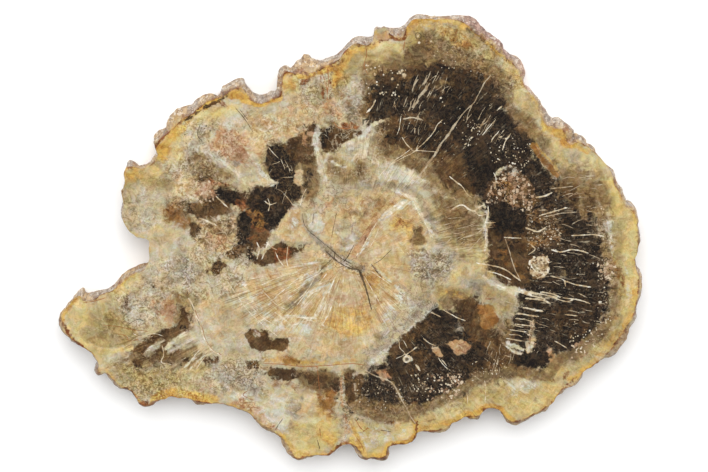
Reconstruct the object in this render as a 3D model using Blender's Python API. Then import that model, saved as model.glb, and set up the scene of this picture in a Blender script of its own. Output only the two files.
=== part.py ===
"""A slice of petrified wood, sawn across the log and polished on one face.

The slice is one solid of stone. It lies on its sawn back at z = 0, with the polished face up.
The edge of the polished face is a smooth closed curve through the points in FACE_EDGE, and the
weathered bark side runs down from it to the back in layers.
"""

import bisect
import math

import bmesh
import bpy
from mathutils import Vector, noise

MM = 0.001

THICKNESS = 15.0 * MM
OUTLINE_STEP = 2.2 * MM
CURVE_PIECES = 12

# How deep each ring of the bark side lies below the polished face, as shares of the thickness.
RING_DEPTHS = (0.0, 0.08, 0.2, 0.35, 0.52, 0.7, 0.87, 1.0)

# The bark side reaches its full bulge at this share of the depth, and keeps this share of it
# at the sawn back.
BULGE_FULL_DEPTH = 0.35
BULGE_AT_BACK = 0.85

# Ridges of the bark run along the log, so they are longer through the slice than round it.
# The noise that shapes them swings about half a unit either way.
RIDGE_HEIGHT = 2.0 * MM
RIDGE_WIDTH = 7.0 * MM
RIDGE_LENGTH = 30.0 * MM
LUMP_HEIGHT = 1.8 * MM
LUMP_SIZE = 13.0 * MM
LUMP_PLACE = Vector((7.0, 3.0, 5.0))
ROUGHNESS_START = 0.15

# Chips broken from the edge of the sawn back, where the noise rises past a threshold.
CHIP_DEPTH = 3.2 * MM
CHIP_SIZE = 9.0 * MM
CHIP_PLACE = Vector((1.0, 8.0, 2.0))
CHIP_THRESHOLD = 0.15
CHIP_START = 0.8

# Normals of the outline are averaged over this many steps to each side.
NORMAL_REACH = 3

COLLECTION_NAME = "petrified_wood_slice"
NODE_NAME = "slice"

# Points on the edge of the polished face in millimetres, clockwise from the tip of the left
# lobe. X runs to the right, Y to the top, and zero is near the middle of the face.
FACE_EDGE = (
    # Left lobe, upper side
    (-116.3, -31.0), (-114.0, -28.0), (-109.5, -23.6), (-108.5, -25.7), (-105.2, -26.3),
    (-100.0, -23.2), (-94.5, -21.0), (-89.5, -16.5), (-82.5, -12.3),
    # Notch and middle lobe of the left side
    (-80.9, -6.0), (-81.7, -1.0), (-86.5, 0.4), (-90.4, 4.6), (-91.8, 10.0), (-90.9, 15.0),
    (-91.4, 17.5), (-90.1, 22.5), (-90.3, 27.5), (-89.0, 28.8), (-82.5, 28.3), (-78.5, 30.8),
    # Upper left
    (-77.0, 33.5), (-77.8, 38.0), (-73.0, 42.5), (-68.0, 47.3), (-63.5, 50.5), (-57.5, 55.0),
    (-52.0, 56.9), (-47.5, 59.8), (-44.7, 60.8), (-42.7, 60.2), (-40.0, 56.0), (-36.0, 54.5),
    (-32.0, 56.0), (-28.7, 57.4), (-27.5, 60.5), (-27.3, 64.8), (-25.8, 67.4), (-22.0, 66.5),
    (-18.3, 66.0), (-12.0, 68.7), (-7.0, 70.9), (-3.7, 73.6), (-1.0, 77.0),
    # Top
    (1.6, 78.7), (6.0, 77.9), (8.4, 79.8), (9.0, 83.5), (13.5, 84.8), (15.4, 82.3),
    (19.2, 80.4), (20.7, 82.5), (23.4, 87.5), (28.3, 88.6), (34.0, 88.0), (39.5, 88.3),
    (44.2, 86.8), (48.0, 83.3), (53.0, 79.9), (57.7, 75.4), (60.0, 73.4),
    # Upper right
    (64.5, 69.3), (67.2, 63.8), (69.8, 59.4), (73.1, 55.4), (74.2, 51.5), (75.6, 47.7),
    (79.0, 44.8), (83.4, 44.2), (85.3, 41.2), (86.2, 37.9), (90.0, 39.0), (94.0, 36.9),
    (98.3, 33.2), (103.0, 27.2), (104.4, 22.5), (106.9, 18.2), (109.2, 13.0), (112.9, 10.3),
    # Right side
    (113.9, 6.2), (114.6, 0.0), (114.6, -4.0), (113.7, -11.0), (115.4, -17.0), (115.1, -24.0),
    (113.6, -31.8), (111.2, -37.2), (107.9, -42.0), (104.3, -47.6), (98.6, -52.8),
    (94.3, -56.0), (91.8, -59.4), (89.2, -62.2), (86.3, -63.1), (83.7, -66.0), (81.8, -69.2),
    (79.3, -71.3),
    # Lower right
    (75.5, -73.6), (71.5, -75.5), (65.8, -77.6), (63.1, -75.8), (59.7, -72.3), (54.8, -71.9),
    (52.2, -74.6), (48.8, -76.0), (46.1, -75.3), (43.6, -77.0), (40.3, -78.3), (38.2, -80.3),
    (33.0, -81.5), (27.6, -81.6),
    # Bottom
    (26.4, -81.9), (25.7, -85.1), (22.3, -86.9), (17.5, -87.4), (14.8, -88.4), (14.2, -91.8),
    (12.3, -93.0), (9.3, -92.4), (6.3, -92.8), (3.9, -91.0), (1.6, -88.2), (-1.6, -86.9),
    (-5.0, -88.1), (-7.9, -90.8), (-10.4, -92.0), (-13.9, -91.4), (-18.0, -92.1),
    (-22.7, -92.9), (-24.2, -90.8), (-27.4, -85.2),
    # Lower left
    (-31.0, -81.9), (-35.6, -78.8), (-39.9, -75.7), (-42.5, -73.0), (-46.4, -71.6),
    (-50.9, -69.9), (-56.0, -69.6), (-62.9, -68.6), (-67.6, -67.2), (-70.7, -67.2),
    (-73.4, -66.3), (-76.2, -67.9), (-80.1, -68.4), (-84.0, -70.7), (-86.9, -68.1),
    (-90.1, -63.2), (-93.8, -62.5), (-97.1, -59.3), (-99.3, -56.8), (-101.3, -57.3),
    (-103.2, -56.0), (-102.4, -53.6), (-104.4, -49.1), (-110.4, -44.6), (-115.3, -39.8),
    (-116.6, -37.0),
)

# How far the bark side stands out past the edge of the polished face: a place on that edge, and
# the bulge there, all in millimetres. Below zero the side slopes in under the face.
RIM_BULGE = (
    # Left side
    ((-116.0, -35.0), 0.6), ((-109.5, -23.6), -1.5), ((-105.2, -26.3), -0.5),
    ((-98.0, -22.5), -1.8), ((-92.0, -18.8), 0.4), ((-84.0, -13.2), -1.0), ((-80.9, -6.0), -0.8),
    ((-81.6, -1.5), -3.0), ((-86.5, 0.4), 0.4), ((-91.8, 10.0), 0.8), ((-90.1, 22.5), 0.8),
    ((-90.3, 27.5), -0.5), ((-85.0, 28.5), -1.8), ((-81.0, 29.2), -0.3), ((-78.2, 31.4), 0.8),
    # Upper left, with the largest lump of bark near its right end
    ((-77.8, 38.0), 1.6), ((-70.0, 45.3), 2.8), ((-65.8, 48.9), 3.8), ((-63.5, 50.5), 1.2),
    ((-57.5, 55.0), 0.4), ((-53.0, 56.6), -0.8), ((-49.5, 58.6), 2.4), ((-44.7, 60.8), 1.8),
    ((-42.5, 60.0), -0.4), ((-36.0, 54.5), 2.2), ((-31.0, 56.4), 1.4), ((-28.1, 59.0), 1.4),
    ((-26.6, 66.5), 0.2), ((-24.0, 67.0), -1.2), ((-22.0, 66.5), 3.0), ((-18.3, 66.0), 6.6),
    ((-12.0, 68.7), 1.2),
    # Top
    ((-5.0, 72.4), 0.8), ((-1.0, 77.0), -0.6), ((3.8, 78.3), 0.2), ((6.0, 77.9), -0.2),
    ((8.4, 79.8), -1.4), ((9.0, 83.5), -1.2), ((11.2, 84.2), -2.2), ((13.5, 84.8), -1.8),
    ((17.5, 81.2), 2.0), ((20.4, 82.0), 1.6), ((22.5, 86.0), 0.2), ((25.9, 88.0), -1.8),
    ((34.0, 88.0), -1.8), ((39.5, 88.3), -1.8), ((44.2, 86.8), -0.2), ((48.0, 83.3), 3.0),
    ((50.5, 81.6), 3.5), ((53.0, 79.9), 2.3), ((57.7, 75.4), 2.6), ((60.0, 73.4), 1.5),
    # Right side
    ((62.2, 71.3), -0.2), ((64.5, 69.3), 1.0), ((66.5, 65.2), 3.0), ((69.8, 59.4), -0.8),
    ((73.1, 55.4), 0.7), ((74.2, 51.5), 0.9), ((75.6, 47.7), 1.6), ((81.0, 44.4), 0.9),
    ((83.4, 44.2), 2.3), ((85.3, 41.2), 2.4), ((88.1, 38.5), 2.4), ((92.0, 38.1), 1.2),
    ((94.0, 36.9), -1.2), ((98.3, 33.2), -0.6), ((103.0, 27.2), -1.2), ((104.4, 22.5), 0.5),
    ((107.0, 18.0), 1.8), ((109.2, 13.0), 0.0), ((112.9, 10.3), -0.5), ((113.9, 6.2), 1.5),
    ((114.6, 0.0), 0.7), ((113.7, -11.0), 1.1), ((114.6, -14.0), -0.2), ((115.2, -22.0), 0.6),
    ((114.2, -28.2), 1.7), ((110.0, -39.0), 2.8), ((106.0, -45.0), 3.0),
    # Lower side
    ((98.6, -52.8), 1.9), ((93.0, -57.7), 0.4), ((90.5, -60.8), 0.6), ((83.7, -66.0), 2.1),
    ((79.3, -71.3), 2.1), ((71.5, -75.5), 2.5), ((65.8, -77.6), 1.2), ((59.7, -72.3), 0.0),
    ((54.8, -71.9), -0.9), ((50.5, -75.3), 1.8), ((43.6, -77.0), 1.8), ((38.2, -80.3), 1.4),
    ((30.0, -81.5), 1.4), ((12.3, -93.0), 1.6), ((-5.0, -88.1), 1.2), ((-10.4, -92.0), 1.8),
    ((-22.7, -92.9), 2.0), ((-46.4, -71.6), 1.3), ((-67.6, -67.2), 1.0), ((-81.0, -69.0), 0.4),
    ((-84.0, -70.7), 1.6), ((-95.4, -60.9), 0.4), ((-101.3, -57.3), 1.7), ((-104.4, -49.1), 1.9),
    ((-110.4, -44.6), 2.0),
)


def remove_all_objects():
    for item in list(bpy.data.objects):
        bpy.data.objects.remove(item, do_unlink=True)


def smooth_closed_curve(corners, pieces_each):
    """Points of a centripetal Catmull-Rom curve through a closed ring of corners."""
    count = len(corners)
    points = []
    for index in range(count):
        before = corners[index - 1]
        start = corners[index]
        end = corners[(index + 1) % count]
        after = corners[(index + 2) % count]
        knot_start = math.sqrt((start - before).length)
        knot_end = knot_start + math.sqrt((end - start).length)
        knot_after = knot_end + math.sqrt((after - end).length)
        for piece in range(pieces_each):
            share = piece / pieces_each
            t = knot_start + (knot_end - knot_start) * share
            first = before.lerp(start, t / knot_start)
            second = start.lerp(end, share)
            third = end.lerp(after, (t - knot_end) / (knot_after - knot_end))
            left = first.lerp(second, t / knot_end)
            right = second.lerp(third, (t - knot_start) / (knot_after - knot_start))
            points.append(left.lerp(right, share))
    return points


def even_steps(points, step):
    """The same closed curve, as points an even distance apart."""
    lengths = [0.0]
    for index, point in enumerate(points):
        following = points[(index + 1) % len(points)]
        lengths.append(lengths[-1] + (following - point).length)
    count = round(lengths[-1] / step)
    result = []
    for index in range(count):
        target = lengths[-1] * index / count
        place = bisect.bisect_right(lengths, target) - 1
        share = (target - lengths[place]) / (lengths[place + 1] - lengths[place])
        result.append(points[place].lerp(points[(place + 1) % len(points)], share))
    return result


def outward_normals(points, reach):
    """Outward directions of a clockwise ring, averaged over a few steps to each side."""
    count = len(points)
    normals = []
    for index in range(count):
        along = Vector((0.0, 0.0))
        for offset in range(1, reach + 1):
            ahead = points[(index + offset) % count]
            behind = points[index - offset]
            along += (ahead - behind) / offset
        normals.append(Vector((-along.y, along.x)).normalized())
    return normals


def bulge_round_the_rim(points):
    """The bulge at each point, eased between the places that RIM_BULGE names."""
    marks = []
    for place, bulge in RIM_BULGE:
        target = Vector(place) * MM
        nearest = min(range(len(points)), key=lambda index: (points[index] - target).length)
        marks.append((nearest, bulge * MM))
    marks.sort()
    count = len(points)
    bulges = [0.0] * count
    for number, (start, bulge_start) in enumerate(marks):
        end, bulge_end = marks[(number + 1) % len(marks)]
        span = (end - start) % count
        for offset in range(span):
            share = 0.5 - 0.5 * math.cos(math.pi * offset / span)
            bulges[(start + offset) % count] = bulge_start + (bulge_end - bulge_start) * share
    return bulges


def bulge_profile(depth):
    """Share of the bulge at a depth: it rises fast below the face and eases in at the back."""
    if depth < BULGE_FULL_DEPTH:
        return 1.0 - (1.0 - depth / BULGE_FULL_DEPTH) ** 2
    below = (depth - BULGE_FULL_DEPTH) / (1.0 - BULGE_FULL_DEPTH)
    return 1.0 - (1.0 - BULGE_AT_BACK) * below


def bark_height(place, depth):
    """Height of the ridges, lumps and chips of the bark at a place on the side."""
    height_from_back = THICKNESS * (1.0 - depth)
    ridge_place = Vector((place.x / RIDGE_WIDTH, place.y / RIDGE_WIDTH,
                          height_from_back / RIDGE_LENGTH))
    lump_place = Vector((place.x, place.y, height_from_back)) / LUMP_SIZE + LUMP_PLACE
    height = RIDGE_HEIGHT * noise.noise(ridge_place) + LUMP_HEIGHT * noise.noise(lump_place)
    height *= min(1.0, depth / ROUGHNESS_START)
    if depth > CHIP_START:
        chip_place = Vector((place.x, place.y, 0.0)) / CHIP_SIZE + CHIP_PLACE
        chip = max(0.0, noise.noise(chip_place) - CHIP_THRESHOLD)
        height -= CHIP_DEPTH * chip * (depth - CHIP_START) / (1.0 - CHIP_START)
    return height


def centre_of_box(points):
    low = Vector((min(point.x for point in points), min(point.y for point in points)))
    high = Vector((max(point.x for point in points), max(point.y for point in points)))
    return (low + high) / 2.0


def make_rings():
    """The rings of points that the bark side passes through, from the face to the back."""
    corners = [Vector(corner) * MM for corner in FACE_EDGE]
    edge = even_steps(smooth_closed_curve(corners, CURVE_PIECES), OUTLINE_STEP)
    normals = outward_normals(edge, NORMAL_REACH)
    bulges = bulge_round_the_rim(edge)
    rings = []
    for depth in RING_DEPTHS:
        ring = []
        for point, normal, bulge in zip(edge, normals, bulges):
            out = bulge * bulge_profile(depth) + bark_height(point, depth)
            ring.append(point + normal * out)
        rings.append(ring)
    centre = centre_of_box([point for ring in rings for point in ring])
    return [[point - centre for point in ring] for ring in rings]


def make_slice_mesh():
    """Extrude the ring of the face down through the other rings, and close both ends."""
    rings = make_rings()
    count = len(rings[0])
    model = bmesh.new()
    ring_vertices = [model.verts.new((point.x, point.y, THICKNESS)) for point in rings[0]]
    for index in range(count):
        model.edges.new((ring_vertices[index], ring_vertices[(index + 1) % count]))
    model.faces.new(ring_vertices)
    for ring, depth in zip(rings[1:], RING_DEPTHS[1:]):
        edges = [model.edges.get((ring_vertices[index], ring_vertices[(index + 1) % count]))
                 for index in range(count)]
        extruded = bmesh.ops.extrude_edge_only(model, edges=edges)["geom"]
        new_vertices = [item for item in extruded if isinstance(item, bmesh.types.BMVert)]
        by_place = {vertex.co.to_tuple(7): vertex for vertex in new_vertices}
        ring_vertices = [by_place[vertex.co.to_tuple(7)] for vertex in ring_vertices]
        for vertex, point in zip(ring_vertices, ring):
            vertex.co = (point.x, point.y, THICKNESS * (1.0 - depth))
    model.faces.new(ring_vertices)
    bmesh.ops.triangulate(model, faces=model.faces[:])
    bmesh.ops.recalc_face_normals(model, faces=model.faces[:])
    mesh = bpy.data.meshes.new(NODE_NAME)
    model.to_mesh(mesh)
    model.free()
    return mesh


def make_stone_material():
    material = bpy.data.materials.new("petrified_wood")
    material.use_nodes = True
    shader = material.node_tree.nodes["Principled BSDF"]
    shader.inputs["Base Color"].default_value = (0.30, 0.21, 0.12, 1.0)
    shader.inputs["Roughness"].default_value = 0.35
    shader.inputs["Metallic"].default_value = 0.0
    return material


def main():
    remove_all_objects()
    collection = bpy.data.collections.new(COLLECTION_NAME)
    bpy.context.scene.collection.children.link(collection)
    stone = bpy.data.objects.new(NODE_NAME, make_slice_mesh())
    stone.data.materials.append(make_stone_material())
    stone.data.shade_smooth()
    stone.data.set_sharp_from_angle(angle=math.radians(40.0))
    collection.objects.link(stone)


main()
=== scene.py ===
"""Looks of a polished slice of petrified wood, lying on its sawn back on a pale floor.

Places on the slice are in millimetres on the plane of the polished face: x to the right, y to
the top, and zero near the middle of the face. The stone's minerals are named paints. Listed
patches say where each one lies, and the shader breaks up their edges and mottles them.
"""

import math

import bmesh
import bpy
import numpy as np
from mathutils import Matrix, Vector, kdtree, noise
from mathutils.geometry import delaunay_2d_cdt


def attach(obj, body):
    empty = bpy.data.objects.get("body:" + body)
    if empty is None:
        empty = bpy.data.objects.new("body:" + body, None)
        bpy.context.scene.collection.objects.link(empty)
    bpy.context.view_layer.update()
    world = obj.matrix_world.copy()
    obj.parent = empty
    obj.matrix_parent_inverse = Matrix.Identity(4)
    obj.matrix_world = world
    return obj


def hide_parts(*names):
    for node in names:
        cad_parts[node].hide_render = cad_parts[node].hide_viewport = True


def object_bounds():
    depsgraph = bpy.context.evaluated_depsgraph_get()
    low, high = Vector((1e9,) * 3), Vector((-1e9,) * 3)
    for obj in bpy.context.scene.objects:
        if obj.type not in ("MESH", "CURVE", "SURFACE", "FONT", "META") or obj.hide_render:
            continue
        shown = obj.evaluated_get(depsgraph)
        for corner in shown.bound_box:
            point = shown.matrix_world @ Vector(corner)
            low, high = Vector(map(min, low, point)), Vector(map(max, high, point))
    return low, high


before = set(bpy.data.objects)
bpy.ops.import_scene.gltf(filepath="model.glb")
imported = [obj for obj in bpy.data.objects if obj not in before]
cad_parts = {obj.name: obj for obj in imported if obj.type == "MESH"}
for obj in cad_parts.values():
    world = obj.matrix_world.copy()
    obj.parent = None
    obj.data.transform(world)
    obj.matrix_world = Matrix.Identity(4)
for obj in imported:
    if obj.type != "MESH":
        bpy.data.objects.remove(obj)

CAD_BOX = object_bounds()
MM = 0.001
NODE = "slice"
FACE_HEIGHT = CAD_BOX[1][2] / MM

# The middle of the face's box, measured from the zero of the drawing.
FACE_MIDDLE = (-0.6, -2.2)

# Camera: its lean from straight down in degrees, then its lengths and the place on the face that
# it looks at, in millimetres.
CAMERA_TILT = 14.0
CAMERA_FOCAL = 135.0
CAMERA_SENSOR = 36.0
CAMERA_DISTANCE = 1062.0
CAMERA_AIM = (1.0, 0.62)

# Spacing of the mesh on the face, on the back and along a line, in millimetres.
FACE_SPACING = 0.92
BACK_SPACING = 1.9
STROKE_STEP = 0.6

# How far the points of the grid are shaken, and how near they come to the others, as shares of
# their spacing.
GRID_SHAKE = 0.12
GRID_CLEARANCE = 0.42

# Points of their own for lines and spots: how far beside them the mesh is pinned, how far these
# points stay from the edge of the face and from each other, and how many stand round a spot.
BESIDE_LINE = 0.25
AROUND_SPOT = 0.2
MARK_TO_EDGE = 0.3
MARK_TO_MARK = 0.24
SPOT_TURNS = 5

# Rows down the rim, and columns for each point of the solid's rings.
RIM_ROWS = 20
RIM_COLUMNS_EACH = 4

# Relief of the bark in millimetres. Ridges and hollows are drawn out along the log.
BARK_STRETCH = 0.35
RIDGE_SIZE = 3.1
RIDGE_DEPTH = 0.55
CRUMB_SIZE = 1.5
CRUMB_DEPTH = 0.35
HOLLOW_SIZE = 4.5
HOLLOW_DEPTH = 0.5
HOLLOW_THRESHOLD = 0.12
HOLLOW_PLACE = Vector((9, 2, 5))

# Nicks and burrs along the two edges of the rim, and how much of the bark's relief the rows
# nearest to an edge take in their place.
NICK_SIZE = 1.7
NICK_DEPTH = 0.5
NICK_THRESHOLD = 0.18
NICK_PLACE = Vector((3, 8, 1))
BURR_SIZE = 0.9
BURR_DEPTH = 0.1
RELIEF_NEAR_EDGE = (0.55, 0.75, 0.95)

# Marks of the saw on the back: their depth and size in millimetres.
SAW_DEPTH = 0.07
SAW_SIZE = 1.6

# The pith of the log, from which its fibres and rings spread.
PITH = (-2.0, -9.0)

PAINTS = ("matrix", "grey", "tan", "straw", "olive", "pink", "gold", "cream", "umber", "amber", "rust",
          "brown", "dark")

# Low, middle and high tones of each paint, as sRGB values out of 255.
TONES = {
    "matrix": ((140, 122, 90), (188, 173, 140), (212, 202, 176)),
    "grey": ((108, 96, 78), (166, 153, 128), (202, 193, 174)),
    "tan": ((162, 128, 84), (196, 171, 127), (224, 208, 172)),
    "straw": ((166, 138, 80), (206, 184, 124), (228, 212, 160)),
    "olive": ((112, 92, 52), (164, 144, 96), (200, 184, 136)),
    "pink": ((138, 94, 62), (182, 144, 106), (210, 182, 148)),
    "gold": ((150, 100, 38), (200, 161, 84), (230, 202, 116)),
    "cream": ((170, 158, 130), (204, 196, 172), (230, 226, 208)),
    "umber": ((80, 60, 36), (124, 100, 66), (166, 144, 104)),
    "amber": ((76, 44, 16), (132, 90, 44), (178, 136, 78)),
    "rust": ((66, 34, 16), (120, 70, 38), (176, 120, 78)),
    "brown": ((30, 20, 10), (74, 52, 29), (126, 96, 60)),
    "dark": ((5, 4, 3), (23, 17, 13), (70, 54, 38)),
}

# Where the three tones of a paint stand along its pattern of light and dark.
TONE_STOPS = (0.18, 0.5, 0.84)

# Ramps of the other markings: each tone with its place along the ramp.
JOINT_TONES = ((0.35, (80, 60, 36)), (0.65, (126, 102, 68)))
THREAD_TONES = ((0.35, (172, 146, 108)), (0.65, (212, 200, 172)))
CRUMB_TONES = ((0.35, (184, 148, 112)), (0.65, (220, 206, 180)))
CRYSTAL_TONES = ((0.1, (124, 92, 66)), (0.45, (174, 140, 108)), (0.85, (216, 196, 168)))
COOL_RIND = ((0.2, (110, 96, 86)), (0.42, (168, 152, 138)), (0.58, (200, 186, 170)), (0.82, (228, 216, 200)))
WARM_RIND = ((0.2, (116, 88, 64)), (0.42, (176, 144, 108)), (0.6, (208, 178, 136)), (0.82, (232, 214, 178)))
DUST_TONES = ((0.3, (150, 140, 124)), (0.7, (196, 188, 172)))
FIBRE_SHADE = (112, 84, 52)
FIBRE_LIGHT = (214, 200, 168)
RIND_RUST = (150, 92, 56)
# The rind's dark crack lines are partly real cracks and partly painted shade in the crevices.
RIND_CRACK_SHADE = (96, 74, 60)
# Pale spots on the rind are painted highlights.
RIND_HIGHLIGHT = (228, 218, 202)

# Lines by kind: how much the strongest cover, and their ramp of tones.
LINE_TONES = {
    "dark": (0.9, ((0.3, (44, 34, 24)), (0.7, (92, 74, 52)))),
    "rust": (0.85, ((0.3, (120, 66, 34)), (0.7, (176, 112, 62)))),
    "faint": (0.75, ((0.36, (168, 140, 104)), (0.64, (214, 200, 172)))),
    "pale": (0.9, ((0.36, (180, 150, 110)), (0.5, (214, 196, 162)), (0.64, (244, 238, 222)))),
}

# Gloss: the least and greatest roughness of each surface.
POLISHED_ROUGHNESS = (0.1, 0.2)
RIND_ROUGHNESS = (0.7, 0.92)
SAWN_ROUGHNESS = (0.62, 0.8)

# Fine relief in the shader, in metres.
PIT_DEPTH = 0.00004
RIND_GRAIN = 0.0006
SAW_GRAIN = 0.0003

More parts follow.
